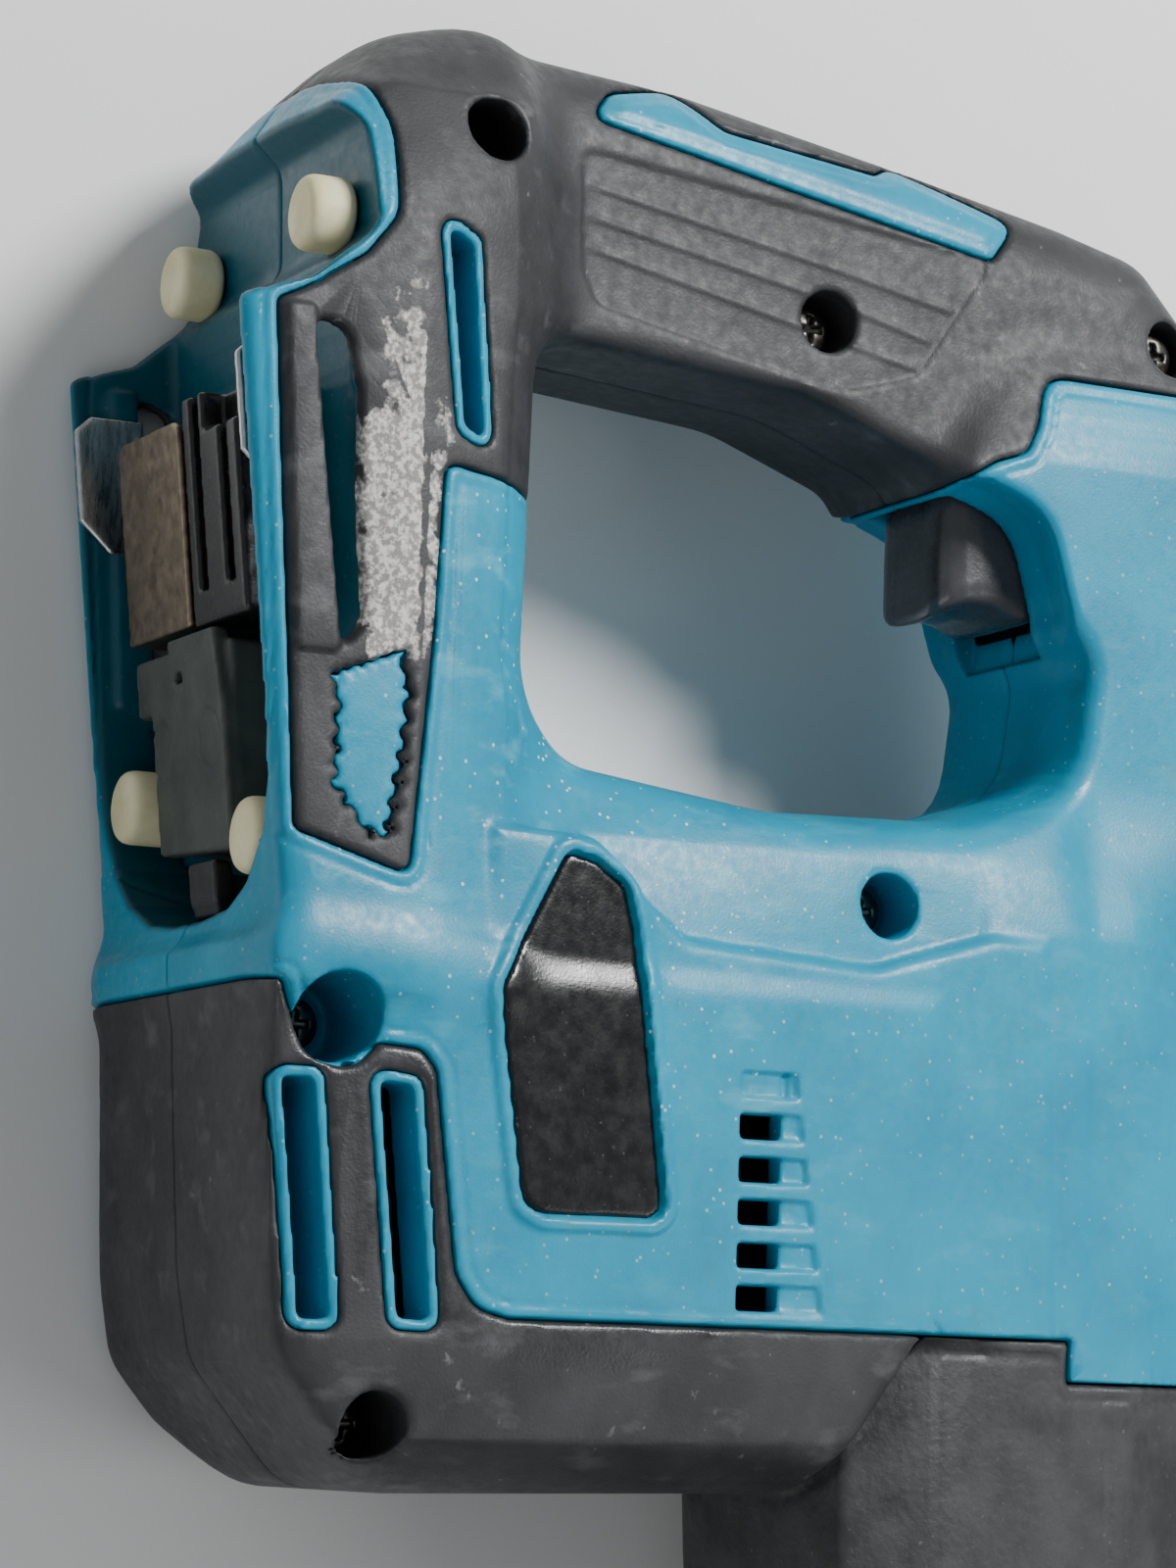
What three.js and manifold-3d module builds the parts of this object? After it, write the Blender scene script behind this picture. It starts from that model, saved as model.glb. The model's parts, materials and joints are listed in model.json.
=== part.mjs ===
// A cordless reciprocating saw with a D-shaped rear handle, lying on its left side, without its battery.
// Millimetres. +X runs from the handle to the blade, +Y is the saw's top in use, +Z is its right-hand side.
// The saw is drawn about the blade's axis (y = 0, z = 0), with x = 0 at the back of the handle, and the
// exported group then moves it so that the origin is at the centre of its underside as it lies.
import * as THREE from "three";
import { mergeVertices } from "three/addons/utils/BufferGeometryUtils.js";
import Module from "manifold-3d";

const wasm = await Module();
wasm.setup();

// ---------------------------------------------------------------- driving dimensions
const GAP = 0.3; // between pieces that touch
const WALL = 3; // moulded housing wall
const SKIN = 2; // soft overmould
const HALF_WIDTH = 40.5; // the housing's widest half, at the battery dock and the motor
const GRIP_HALF = 19; // the handle's half thickness
const BODY_FRONT = 200; // where the teal housing ends below the badge panel
const PANEL_FRONT = 206.5; // where it ends beside the badge panel
const NOSE_FRONT = 372; // front edge of the front cover
const SHOE_FACE = 407; // the shoe's front face
const STROKE = 20;
const BLADE = { from: 361, to: 512, top: 8, bottom: -11, thick: 1.2 };
const DOCK = { x: 51.7, y: -146.5, slope: 0.109, depth: 18, half: 35.5, end: 141 };
const MOTOR = { x: 185, shaft: 4, stator: 25.5 };
const GEAR = { module: 1, pinionTeeth: 9, wheelTeeth: 45, low: -30, high: -21 };
const CRANK_X = MOTOR.x + (GEAR.module * (GEAR.pinionTeeth + GEAR.wheelTeeth)) / 2;
const TRIGGER_HALF = 12;
const REACH = 60; // past any face that a cut has to clear

// ---------------------------------------------------------------- shapes and solids
const X = new THREE.Vector3(1, 0, 0);
const Y = new THREE.Vector3(0, 1, 0);
const Z = new THREE.Vector3(0, 0, 1);
// A shape's own two axes, then the way it is extruded, for each direction of extrusion.
const BASES = { x: [Y, Z, X], y: [Z, X, Y], z: [X, Y, Z] };

// A closed outline through points [a, b, corner radius].
function outline(points) {
  const shape = new THREE.Shape();
  points.forEach(([a, b, radius = 0], i) => {
    const corner = new THREE.Vector2(a, b);
    const before = new THREE.Vector2(...points.at(i - 1).slice(0, 2)).sub(corner);
    const after = new THREE.Vector2(...points[(i + 1) % points.length].slice(0, 2)).sub(corner);
    const cut = radius / Math.tan(before.angleTo(after) / 2);
    const from = before.setLength(cut).add(corner);
    const to = after.setLength(cut).add(corner);
    if (i) shape.lineTo(radius ? from.x : a, radius ? from.y : b);
    else shape.moveTo(radius ? from.x : a, radius ? from.y : b);
    if (radius) shape.quadraticCurveTo(a, b, to.x, to.y);
  });
  shape.closePath();
  return shape;
}

// A convex outline with every edge moved inwards, or outwards where distance is negative.
function inset(points, distance) {
  const lines = points.map(([a, b], i) => {
    const [c, d] = points[(i + 1) % points.length];
    const length = Math.hypot(c - a, d - b);
    const normal = [-(d - b) / length, (c - a) / length];
    return [normal[0], normal[1], normal[0] * a + normal[1] * b + distance];
  });
  return points.map(([, , radius = 0], i) => {
    const [a, b, c] = lines.at(i - 1);
    const [d, e, f] = lines[i];
    const det = a * e - b * d;
    const corner = radius ? Math.max(radius - distance, 0.8) : 0;
    return [(c * e - b * f) / det, (a * f - c * d) / det, corner];
  });
}

// A list of [along, half width] and its mirror image, as an anticlockwise outline. The list runs forward.
const mirrored = (half) => [
  ...half.map(([a, b]) => [a, -b]),
  ...half.map(([a, b]) => [a, b]).reverse(),
];

function extruded(points, axis, from, to, curveSegments = 2) {
  const geometry = new THREE.ExtrudeGeometry(outline(points), {
    depth: to - from,
    bevelEnabled: false,
    curveSegments,
  });
  geometry.translate(0, 0, from);
  return geometry.applyMatrix4(new THREE.Matrix4().makeBasis(...BASES[axis]));
}

function solid(geometry) {
  const bare = geometry.index ? geometry.toNonIndexed() : geometry.clone();
  bare.deleteAttribute("normal");
  bare.deleteAttribute("uv");
  const merged = mergeVertices(bare, 1e-4);
  const mesh = new wasm.Mesh({
    numProp: 3,
    vertProperties: merged.attributes.position.array,
    triVerts: new Uint32Array(merged.index.array),
  });
  return new wasm.Manifold(mesh);
}

function geometryOf(manifold) {
  const mesh = manifold.getMesh();
  const geometry = new THREE.BufferGeometry();
  geometry.setAttribute("position", new THREE.BufferAttribute(mesh.vertProperties, 3));
  geometry.setIndex(new THREE.BufferAttribute(mesh.triVerts, 1));
  geometry.computeVertexNormals();
  return geometry;
}

const prism = (points, axis, from, to, segments) =>
  solid(extruded(points, axis, from, to, segments));
const box = (x0, x1, y0, y1, z0, z1) =>
  solid(
    new THREE.BoxGeometry(x1 - x0, y1 - y0, z1 - z0).translate(
      (x0 + x1) / 2,
      (y0 + y1) / 2,
      (z0 + z1) / 2,
    ),
  );
const union = (solids) => solids.reduce((all, next) => all.add(next));

// A turned piece: profile points are [radius, place along the axis], starting and ending on the axis or closed.
function turned(profile, axis, [a, b], segments = 24) {
  const points = profile.map(([radius, along]) => new THREE.Vector2(radius, along));
  const geometry = new THREE.LatheGeometry(points, segments);
  // A lathe turns about its own Y, so its Z and X lie along the first two axes of the basis.
  const [first, second, along] = BASES[axis];
  geometry.applyMatrix4(new THREE.Matrix4().makeBasis(second, along, first));
  const centre = first.clone().multiplyScalar(a).add(second.clone().multiplyScalar(b));
  geometry.translate(...centre);
  return solid(geometry);
}
const rod = (radius, axis, from, to, centre, segments) =>
  turned([[0, from], [radius, from], [radius, to], [0, to]], axis, centre, segments);
const ring = (inner, outer, axis, from, to, centre, segments) =>
  turned(
    [[inner, from], [outer, from], [outer, to], [inner, to], [inner, from]],
    axis,
    centre,
    segments,
  );

// ---------------------------------------------------------------- the saw's outer form
// Each block is where its side view, end view and top view meet. Views are convex and anticlockwise;
// end and top views are given as [place, half width] from the low end to the high end.
const BLOCKS = [
  {
    name: "dock column",
    side: [[18.5, -131.5], [51.7, -146.5], [150, -136], [150, -90], [20, -90], [0, -100, 6], [4, -115, 5]],
    end: [[-150, HALF_WIDTH], [-118, HALF_WIDTH], [-101, 35], [-88, 23]],
    top: [[-2, 15], [14, 30], [34, HALF_WIDTH], [151, HALF_WIDTH]],
  },
  {
    name: "motor",
    side: [[146, -138.2], [205, -132, 12], [226.5, -119, 10], [224, -43], [200, -25], [146, -22]],
    end: [[-139, 20], [-138, 27], [-133, 37], [-112, HALF_WIDTH], [-75, 38.5], [-20, 34]],
    top: [[145, HALF_WIDTH], [205, HALF_WIDTH], [219, 36], [227, 24]],
  },
  {
    name: "body",
    side: [[115, -92], [147, -130], [190, -130], [200, -60], [200, 4], [115, 4]],
    end: [[-131, 30], [-112, 39.5], [-75, 37.5], [-30, 34.5], [5, 32.5]],
    top: [[114, 24], [128, 33], [146, 39.5], [201, 39.5]],
  },
  {
    name: "upper",
    side: [[60, -12], [200, -12], [200, 42.5], [50, 42.5, 8], [44, 38], [44, 0]],
    end: [[-13, 24], [26, 23.5], [37, 17], [43, 6]],
    top: [[43, 17], [56, 24], [202, 24]],
  },
  {
    name: "barrel",
    side: [[118, -14], [212, -14], [212, 43], [118, 43]],
    end: [[-15, 33], [0, 32.5], [14, 30.5], [28, 25.5], [38, 16], [43.2, 5]],
    top: [[110, 20], [138, 33], [213, 33]],
  },
  {
    name: "gearing",
    side: [[190, -20], [222, -42, 3], [268, -31], [268, 31], [238, 38, 10], [190, 42.5]],
    end: [[-43, 16], [-36, 27], [-20, 31.5], [0, 32], [14, 30], [28, 25], [38, 15.5], [43, 5]],
    top: [[189, 32], [240, 32], [269, 28]],
  },
  {
    name: "nose",
    side: [[252, -31.5], [NOSE_FRONT, -33], [NOSE_FRONT, 28], [252, 31.5]],
    end: [[-33.5, 11], [-24, 23], [-8, 28], [8, 28], [22, 22], [32, 9]],
    top: [[251, 28.5], [330, 26.5], [NOSE_FRONT + 1, 26.5]],
  },
];
// The handle and the plate that it grows from, with rounded edges.
const HANDLE_SIDE = [
  [14, -124, 6], [140, -124, 4], [190, -60, 4], [190, 38, 4], [48, 42.5, 14],
  [23, 30, 12], [13.5, 8, 30], [0, -78, 20], [-1, -103, 12],
];
const OPENING = [
  [46.5, -90, 7], [103, -91.5, 14], [113, -84, 8], [117.5, -50, 30], [117, -18, 16], [110, 3.5, 10],
  [90, 6.5, 6], [72, -10, 4], [59, -20, 8], [51.5, -40, 30],
];
// Round the trigger the side wall is arched back.
const ARCH = [[63.5, -19, 4], [94, -19], [94, 7], [80, 7, 4], [66.5, 3, 5]];

// A cut that is wider the further it is from the middle, so that its edges are rounded over.
function flared(points, steps, distance) {
  return union(
    steps.slice(1).flatMap(([reach, grow], i) => {
      const low = Math.max(steps[i][0] - distance, 0);
      const wide = inset(points, -grow - distance);
      return [prism(wide, "z", low, reach + 0.01), prism(wide, "z", -reach - 0.01, -low)];
    }),
  );
}
const OPENING_STEPS = [[0, 0], [12, 0], [16.5, 3], [21, 8], [REACH, 14]];
const ARCH_STEPS = [[0, 0], [17, 0], [REACH, 2]];

// A point beside the dock's face, which slopes: x, and how far in from the face.
const docked = (x, into) => [x, DOCK.y + into + (x - DOCK.x) * DOCK.slope];
const slab = (x0, x1, low, high, z0, z1) =>
  prism([docked(x0, low), docked(x1, low), docked(x1, high), docked(x0, high)], "z", z0, z1);

function dockCut(grow) {
  // The battery slides in from the back, along the slope of the dock's face.
  const { half, end, depth } = DOCK;
  const channel = slab(-20, 170, -30, depth + grow, -REACH, REACH);
  const plan = [
    [half + grow, -20], [half + grow, end + grow, 22], [-half - grow, end + grow, 22], [-half - grow, -20],
  ];
  // The side walls stop short of the back, so that the battery's shoulders can enter.
  const entry = [
    [-10, -160], [52, -160], [52 - grow, -146.6], [38.8 + grow, -125.2 + grow], [22, -126 + grow],
    [16, -131.6 + grow], [-10, -131.6 + grow],
  ];
  return channel.intersect(prism(plan, "y", -180, -90, 5)).add(prism(entry, "z", -REACH, REACH));
}

function handlePlate(distance) {
  const half = GRIP_HALF - distance;
  const radius = Math.max(11 - distance, 2);
  const layers = [[1, 0], [0.45, 0.15], [0, 0.5]];
  return union(
    layers.map(([below, share]) => {
      const high = half - below * radius;
      return prism(inset(HANDLE_SIDE, distance + share * radius), "z", -high, high);
    }),
  );
}

// The saw's form, with every face moved inwards by distance.
function form(distance) {
  const blocks = BLOCKS.map(({ side, end, top }) => {
    const ended = mirrored(end);
    const topped = mirrored(top).map(([x, z]) => [z, x]).reverse();
    return prism(inset(side, distance), "z", -REACH, REACH)
      .intersect(prism(inset(ended, distance), "x", -20, 400))
      .intersect(prism(inset(topped, distance), "y", -180, 60));
  });
  return union([handlePlate(distance), ...blocks])
    .subtract(flared(OPENING, OPENING_STEPS, distance))
    .subtract(flared(ARCH, ARCH_STEPS, distance))
    .subtract(dockCut(distance));
}
const column = (points, grow = 0) => prism(inset(points, -grow), "z", -REACH, REACH);
const rightHalf = (s) => s.intersect(box(-50, 600, -200, 100, GAP / 2, REACH));
const leftHalf = (s) => s.intersect(box(-50, 600, -200, 100, -REACH, -GAP / 2));

// ---------------------------------------------------------------- where each covering lies, in side view
const NOSE_AREA = [
  [BODY_FRONT, -25], [225, -43.4], [228, -60], [420, -60], [420, 60], [PANEL_FRONT, 60],
  [PANEL_FRONT, 1.8], [BODY_FRONT, 1.8],
];
const GRIP_AREA = [
  [-30, -124], [14, -125], [22, -121.5], [38, -119.5], [43, -122], [50, -136], [56, -138],
  [129, -133], [135, -117], [98, -114], [73, -113], [76, -85], [60, -60], [60, -27], [70, -24.5],
  [67, -20.5], [63, -16], [58.8, -9.4], [56.9, -3.9], [51.9, -1.3], [43, 1], [44, 60], [-30, 60],
];
const BUMPER_AREA = [
  [150, -150], [240, -150], [240, -60], [228, -60], [225, -43.8], [BODY_FRONT, -25.4],
  [BODY_FRONT, -99], [198.6, -104.6], [193.7, -108], [164, -112], [161, -114.5], [160, -121],
  [162, -126], [160, -131], [155, -134.5], [152, -137],
];
// Where the hard housing shows through the soft covering.
const ACCENT = [
  [10.9, -81.4], [17.5, -47.3], [24.7, -8.3], [17.2, -2.1], [10, -23.9], [12.1, -28.4],
  [9.1, -56.9], [4.1, -64.9], [7.5, -76.2],
];
const SLOTS = [
  [[166, -134], [201, -130.5], [201, -125.5], [166, -129]],
  [[166, -120.7], [200.5, -117], [200.7, -112], [166.5, -115.7]],
  [[37, -114], [67, -110.2], [68.5, -106.7], [39, -109.7]],
];
const RIM = 1.5; // hard rim round each slot
const LABEL = [
  [151.2, -102.1], [182.8, -97.4], [184.4, -94], [184.3, -75.3], [182.8, -73.7], [140.8, -79.1],
  [134.2, -80.9], [130.9, -86], [129.8, -91],
];
const VENTS = { first: 167.6, pitch: 6.5, width: 3.8, count: 5, low: -60.5, high: -53 };
const SCREWS = {
  corner: { x: 19.2, y: -103.8, seat: 12, recess: 5.2 },
  handle: { x: 38.4, y: -38.2, seat: 9, recess: 5 },
  top: { x: 35, y: 27, seat: 9, recess: 5 },
  body: { x: 133.4, y: -31.9, seat: 18, recess: 5.2 },
  dock: { x: 157, y: -127.5, seat: 18, recess: 6.6 },
  bumper: { x: 216, y: -119, seat: 20, recess: 6.6 },
};
const SCREW = { head: 4, shank: 2, wall: 2, post: 5, deep: -16 };
const TRAVEL = 7; // the trigger's

const skins = column(GRIP_AREA).add(column(BUMPER_AREA));
const skinCuts = column(GRIP_AREA, GAP).add(column(BUMPER_AREA, GAP));
const shown = union([column(ACCENT), ...SLOTS.map((slot) => column(slot, RIM))]);
const shownCuts = union([column(ACCENT, -GAP), ...SLOTS.map((slot) => column(slot, RIM - GAP))]);
const nose = column(NOSE_AREA, -GAP / 2);

// The crank's well, under the slider, reaches from the housing into the front cover.
const WELL_SIDE = [[184, -38], [219, -38], [240, -32.9], [262, -27.6], [262, 10], [184, 10]];
const WELL_END = [[-39, 18], [-31, 26.8], [-16, 28.5], [11, 28.5]];
const WELL_WALL = 2;
const well = (distance) =>
  rod(28.5 - distance, "y", -60, 20, [0, CRANK_X], 32)
    .intersect(column(WELL_SIDE, -distance))
    .intersect(prism(inset(mirrored(WELL_END), distance), "x", 150, 270));

const whole = form(0);
const underSkin = form(SKIN + GAP);
// Beside the dock's rounded end, the column's space opens into the motor's.
const passages = [box(141, 156, -124, -118, 28, 32.5), box(141, 156, -124, -118, -32.5, -28)];
const hollow = union([form(SKIN + WALL), well(0), ...passages]);
// The dock's own walls stay bare.
const bare = dockCut(SKIN + 2 * GAP);
const bareCuts = dockCut(SKIN + GAP);

// Openings that go through both the soft covering and the hard housing.
const ventCuts = [1, -1].flatMap((side) =>
  Array.from({ length: VENTS.count }, (_, i) => {
    const x = VENTS.first + i * VENTS.pitch;
    const z = side * 40;
    return box(x, x + VENTS.width, VENTS.low, VENTS.high, z - 15, z + 15);
  }),
);
const slotCuts = SLOTS.flatMap((slot) => [
  prism(slot, "z", 15, REACH),
  prism(slot, "z", -REACH, -15),
]);
const triggerCut = box(40, 88, -13.7, 7.6, -TRIGGER_HALF - GAP, TRIGGER_HALF + GAP);
const screwCuts = Object.values(SCREWS).flatMap(({ x, y, seat, recess }) => [
  rod(recess, "z", seat, REACH, [x, y], 12),
  rod(SCREW.shank + GAP, "z", SCREW.deep, REACH, [x, y], 8),
]);

// Rubber dampers hang from the dock's roof, and the back pair stand in sockets.
const ROOF = DOCK.depth - GAP; // how far in from the dock's face its pieces reach
const DAMPER = { radius: 6, tip: 5 };
const DAMPERS = [
  { x: 35, z: 27, tip: -134, root: -126 - GAP },
  { x: 35, z: -27, tip: -134, root: -126 - GAP },
  { x: 129.5, z: 22.5, tip: docked(129.5, 0)[1], root: docked(129.5, ROOF - 1)[1] },
  { x: 120.5, z: -26.5, tip: docked(120.5, 0)[1], root: docked(120.5, ROOF - 1)[1] },
];
const socketCuts = DAMPERS.slice(0, 2).map(({ x, z, tip, root }) =>
  rod(DAMPER.radius + GAP, "y", tip, root + GAP, [z, x], 16),
);
const openings = union([...ventCuts, ...slotCuts, triggerCut, ...screwCuts, ...socketCuts]);

// ---------------------------------------------------------------- covers and housing
const skin = whole
  .subtract(form(SKIN))
  .intersect(skins)
  .subtract(shown)
  .subtract(bare)
  .subtract(well(0))
  .subtract(openings);
const bosses = Object.values(SCREWS).flatMap(({ x, y, seat, recess }) => [
  rod(recess + SCREW.wall, "z", seat - 3, REACH, [x, y], 12),
  rod(SCREW.post, "z", -REACH, seat - 3, [x, y], 8),
]);
// Ribs that hold the motor's case and its two bearings.
const ribs = [[-104, MOTOR.stator], [-74, MOTOR.stator], [-120, 9], [-54, 10]].map(([y, radius]) =>
  box(140, 232, y, y + 3, -REACH, REACH).subtract(
    rod(radius + GAP, "y", -REACH * 3, REACH, [0, MOTOR.x], 32),
  ),
);
const stuffing = union([...bosses, ...ribs]).intersect(form(SKIN + GAP));
const shell = whole
  .subtract(hollow)
  .add(stuffing)
  .subtract(skinCuts.subtract(shownCuts).subtract(bareCuts).subtract(underSkin))
  .subtract(column(LABEL, GAP).subtract(form(1 + GAP)).intersect(box(0, 300, -200, 0, 0, REACH)))
  .subtract(column(NOSE_AREA, GAP / 2))
  .subtract(openings);

const parts = [];
function add(name, manifold, finish) {
  const mesh = new THREE.Mesh(geometryOf(manifold), new THREE.MeshStandardMaterial(finish));
  mesh.name = name;
  parts.push(mesh);
}
const TEAL = { color: 0x1496a8, roughness: 0.45, metalness: 0 };
const SOFT_BLACK = { color: 0x2c2c2e, roughness: 0.85, metalness: 0 };
const HARD_BLACK = { color: 0x18181a, roughness: 0.4, metalness: 0 };
const GREY = { color: 0x3a3d40, roughness: 0.6, metalness: 0 };
const CREAM = { color: 0xe3dcb4, roughness: 0.7, metalness: 0 };
const STEEL = { color: 0xa9adb0, roughness: 0.35, metalness: 1 };
const DARK_STEEL = { color: 0x55585a, roughness: 0.5, metalness: 1 };
const ALUMINIUM = { color: 0xb9bcbe, roughness: 0.5, metalness: 1 };
const COPPER = { color: 0xb87333, roughness: 0.4, metalness: 1 };
const CLEAR = { color: 0xf2f4f5, roughness: 0.1, metalness: 0 };

add("housing_right", rightHalf(shell), TEAL);
add("housing_left", leftHalf(shell), TEAL);
const gripSkin = skin.intersect(column(GRIP_AREA));
const bumperSkin = skin.intersect(column(BUMPER_AREA));
add("grip_right", rightHalf(gripSkin), SOFT_BLACK);
add("grip_left", leftHalf(gripSkin), SOFT_BLACK);
add("bumper_right", rightHalf(bumperSkin), SOFT_BLACK);
add("bumper_left", leftHalf(bumperSkin), SOFT_BLACK);
add("label", rightHalf(whole.subtract(form(1))).intersect(column(LABEL)), HARD_BLACK);

for (const [name, { x, y, seat }] of Object.entries(SCREWS)) {
  const { head, shank, deep } = SCREW;
  const low = seat + GAP;
  const profile = [
    [0, deep + 1], [shank, deep + 1], [shank, low], [head, low], [head, low + 2], [head - 1, low + 3], [0, low + 3],
  ];
  const drive = [0, Math.PI / 2].map((turn) =>
    solid(new THREE.BoxGeometry(4.4, 1, 2).rotateZ(turn).translate(x, y, low + 3)),
  );
  add(`screw_${name}`, turned(profile, "z", [x, y], 12).subtract(union(drive)), STEEL);
}

// ---------------------------------------------------------------- battery dock
// The pieces inside it stand on its roof, and are placed by how far in from its face they reach.
DAMPERS.forEach(({ x, z, tip, root }, i) => {
  const { radius, tip: face } = DAMPER;
  const profile = [[0, tip], [face, tip], [radius, tip + 1.5], [radius, root], [0, root]];
  add(`dock_damper_${i + 1}`, turned(profile, "y", [z, x], 16), CREAM);
});
for (const [name, side] of [["rail_guard_right", 1], ["rail_guard_left", -1]]) {
  const wall = side * (DOCK.half - 1);
  const z = [side * 28, wall].sort((a, b) => a - b);
  const plate = [wall - 0.6, wall + 0.6];
  add(name, slab(57, 79, 2, 12, ...plate).add(slab(57, 79, 2, 3.2, ...z)), STEEL);
}
const terminalPlate = slab(63, 95, 3.5, 4.7, -27, -1).add(slab(93.8, 95, 3.5, ROOF, -27, -1));
add("terminal_cover_plate", terminalPlate, DARK_STEEL);
const contactSlots = [4.5, 15.5].map((z) => slab(55, 90, 0, 11, z - 1.6, z + 1.6));
add("terminal_block", slab(60, 95.5, 4, ROOF, -0.6, 21).subtract(union(contactSlots)), HARD_BLACK);
for (const [name, z] of [["contact_positive", 15.5], ["contact_negative", 4.5]]) {
  add(name, slab(62, 88, 6, 11 - GAP, z - 0.5, z + 0.5), COPPER);
}
const coverWindow = slab(103, 107, 0, 30, -8, -5);
const dockCover = slab(96, 131, 5.5, 8.5, -17, 15).add(slab(98, 129, 7, ROOF, -15, 13));
add("dock_cover", dockCover.subtract(coverWindow), GREY);
add("latch_catch", slab(131.5, 137.5, 3, ROOF, -6, 4).add(slab(131.5, 140, 3, 5, -6, 4)), HARD_BLACK);
add("controller", slab(64, 120, 23.8, 32, -14, 14), GREY);

// ---------------------------------------------------------------- switch and trigger
add("switch_unit", box(21, 48 - TRAVEL - GAP, -16, 12, -8, 8), HARD_BLACK);
const trigger = [
  [48, -8], [64, -11], [79, -13.3, 2], [83, -9, 3], [80.3, -4.5, 5], [84, 3, 3], [79.5, 6.6, 3],
  [73, 7.2, 3], [48, 6],
];
add("trigger", prism(trigger, "z", -TRIGGER_HALF, TRIGGER_HALF), HARD_BLACK);

// ---------------------------------------------------------------- motor
const onMotor = [0, MOTOR.x];
add("motor_case", ring(21.5, MOTOR.stator, "y", -112, -66, onMotor, 32), DARK_STEEL);
add("motor_magnets", ring(17, 21.5 - GAP, "y", -108, -70, onMotor, 24), HARD_BLACK);
const armature = ring(MOTOR.shaft + GAP, 16.4, "y", -106, -72, onMotor, 24);
const windings = Array.from({ length: 6 }, (_, i) => {
  const turn = (i * Math.PI) / 3;
  const slot = new THREE.BoxGeometry(2, 60, 5).translate(0, -90, 16).rotateY(turn);
  return solid(slot.translate(MOTOR.x, 0, 0));
});
add("armature", armature.subtract(union(windings)), DARK_STEEL);
const fanBlades = Array.from({ length: 9 }, (_, i) => {
  const blade = new THREE.BoxGeometry(1.2, 6, 13).translate(0, -60.5, 14).rotateY((i * Math.PI * 2) / 9);
  return solid(blade.translate(MOTOR.x, 0, 0));
});
const fanDisc = ring(MOTOR.shaft + GAP, 21, "y", -64, -62.5, onMotor, 24);
const fanHub = ring(MOTOR.shaft + GAP, 8.5, "y", -64, -58, onMotor, 16);
add("fan", union([fanDisc, fanHub, ...fanBlades]), HARD_BLACK);
add("motor_bearing_lower", ring(MOTOR.shaft + GAP, 9, "y", -121, -115, onMotor, 20), STEEL);
add("motor_bearing_upper", ring(MOTOR.shaft + GAP, 10, "y", -55, -49, onMotor, 20), STEEL);
add("motor_shaft", rod(MOTOR.shaft, "y", -122, -36, onMotor, 16), STEEL);

// A gear's teeth: flanks tapering from root to tip, each tooth half the pitch wide at the pitch circle.
function gear(teeth, low, high, [z, x], phase, bore) {
  const pitch = (GEAR.module * teeth) / 2;
  const [root, tip] = [pitch - 1.25 * GEAR.module, pitch + 0.9 * GEAR.module];
  const step = (Math.PI * 2) / teeth;
  const points = Array.from({ length: teeth }, (_, i) => {
    const middle = phase + i * step;
    const flank = [[root, -0.33], [tip, -0.11], [tip, 0.11], [root, 0.33]];
    return flank.map(([radius, share]) => {
      const angle = middle + share * step;
      return [z + radius * Math.sin(angle), x + radius * Math.cos(angle)];
    });
  }).flat();
  const wheel = prism(points, "y", low, high);
  return bore ? wheel.subtract(rod(bore, "y", low - 1, high + 1, [z, x], 16)) : wheel;
}
const { pinionTeeth, wheelTeeth } = GEAR;
// The pinion has a gap, and the wheel a tooth, where they meet.
add("pinion", gear(pinionTeeth, GEAR.low - 1, GEAR.high + 1, onMotor, Math.PI / pinionTeeth), STEEL);
const onCrank = [0, CRANK_X];
const toPinion = Math.PI;
add("crank_gear", gear(wheelTeeth, GEAR.low, GEAR.high, onCrank, toPinion, 5 + GAP), DARK_STEEL);
add("crank_shaft", rod(5, "y", -36.5, GEAR.high, onCrank, 16), STEEL);
add("crank_bearing", ring(5 + GAP, 8, "y", -37, -33.5, onCrank, 20), STEEL);
add("crank_pin", rod(5, "y", GEAR.high + GAP, -13.2, [STROKE / 2, CRANK_X], 16), STEEL);

// ---------------------------------------------------------------- slider, guide and gear housing
const onBlade = [0, 0];
const SHAFT = 7.5;
const RUNNING = 0.06;
const yoke = box(199, 225, -12.8, 6, -18, 18);
const yokeSlot = box(206.5, 217.5, -20, -7, -15.6, 15.6);
add("slider_yoke", yoke.subtract(yokeSlot), DARK_STEEL);
add("slider_shaft", rod(SHAFT, "x", 225 + GAP, 358 - GAP, onBlade, 20), STEEL);
add("guide_bush", ring(SHAFT + RUNNING, 12, "x", 304, 340, onBlade, 20), COPPER);
add("shaft_seal", ring(SHAFT + GAP, 12, "x", 340 + GAP, 346, onBlade, 20), SOFT_BLACK);

const POST = { from: 296, to: 394, low: -24, high: -21, half: 9 };
const postWay = (grow) =>
  box(POST.from - 2, 420, POST.low - grow, POST.high + grow, -POST.half - grow, POST.half + grow);
const guideBlock = box(300, 346, -16, 16, -16, 16).add(box(300, 346, -27.5, -15, -13, 13));
const BUTTON = { x: 318, half: 7 };
const buttonWay = rod(BUTTON.half + GAP, "y", -40, -26, [0, BUTTON.x], 16);
const mouth = prism([[-19, -19, 8], [19, -19, 8], [19, 19, 8], [-19, 19, 8]], "x", 346 + GAP, 420);
const gearCase = form(SKIN + 3 * GAP)
  .subtract(form(SKIN + 3 * GAP + WALL))
  .intersect(column(NOSE_AREA, -2 * GAP))
  .add(well(GAP).subtract(box(180, 270, -20, 20, -40, 40)))
  .subtract(well(GAP + WELL_WALL))
  .add(guideBlock)
  .intersect(box(180, 346, -60, 60, -60, 60))
  .subtract(rod(12 + GAP, "x", 290, 360, onBlade, 20))
  .subtract(rod(7, "y", -60, 0, onMotor, 16))
  .subtract(rod(8 + GAP, "y", -60, -33, onCrank, 20))
  .subtract(postWay(GAP))
  .subtract(buttonWay);
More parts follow.
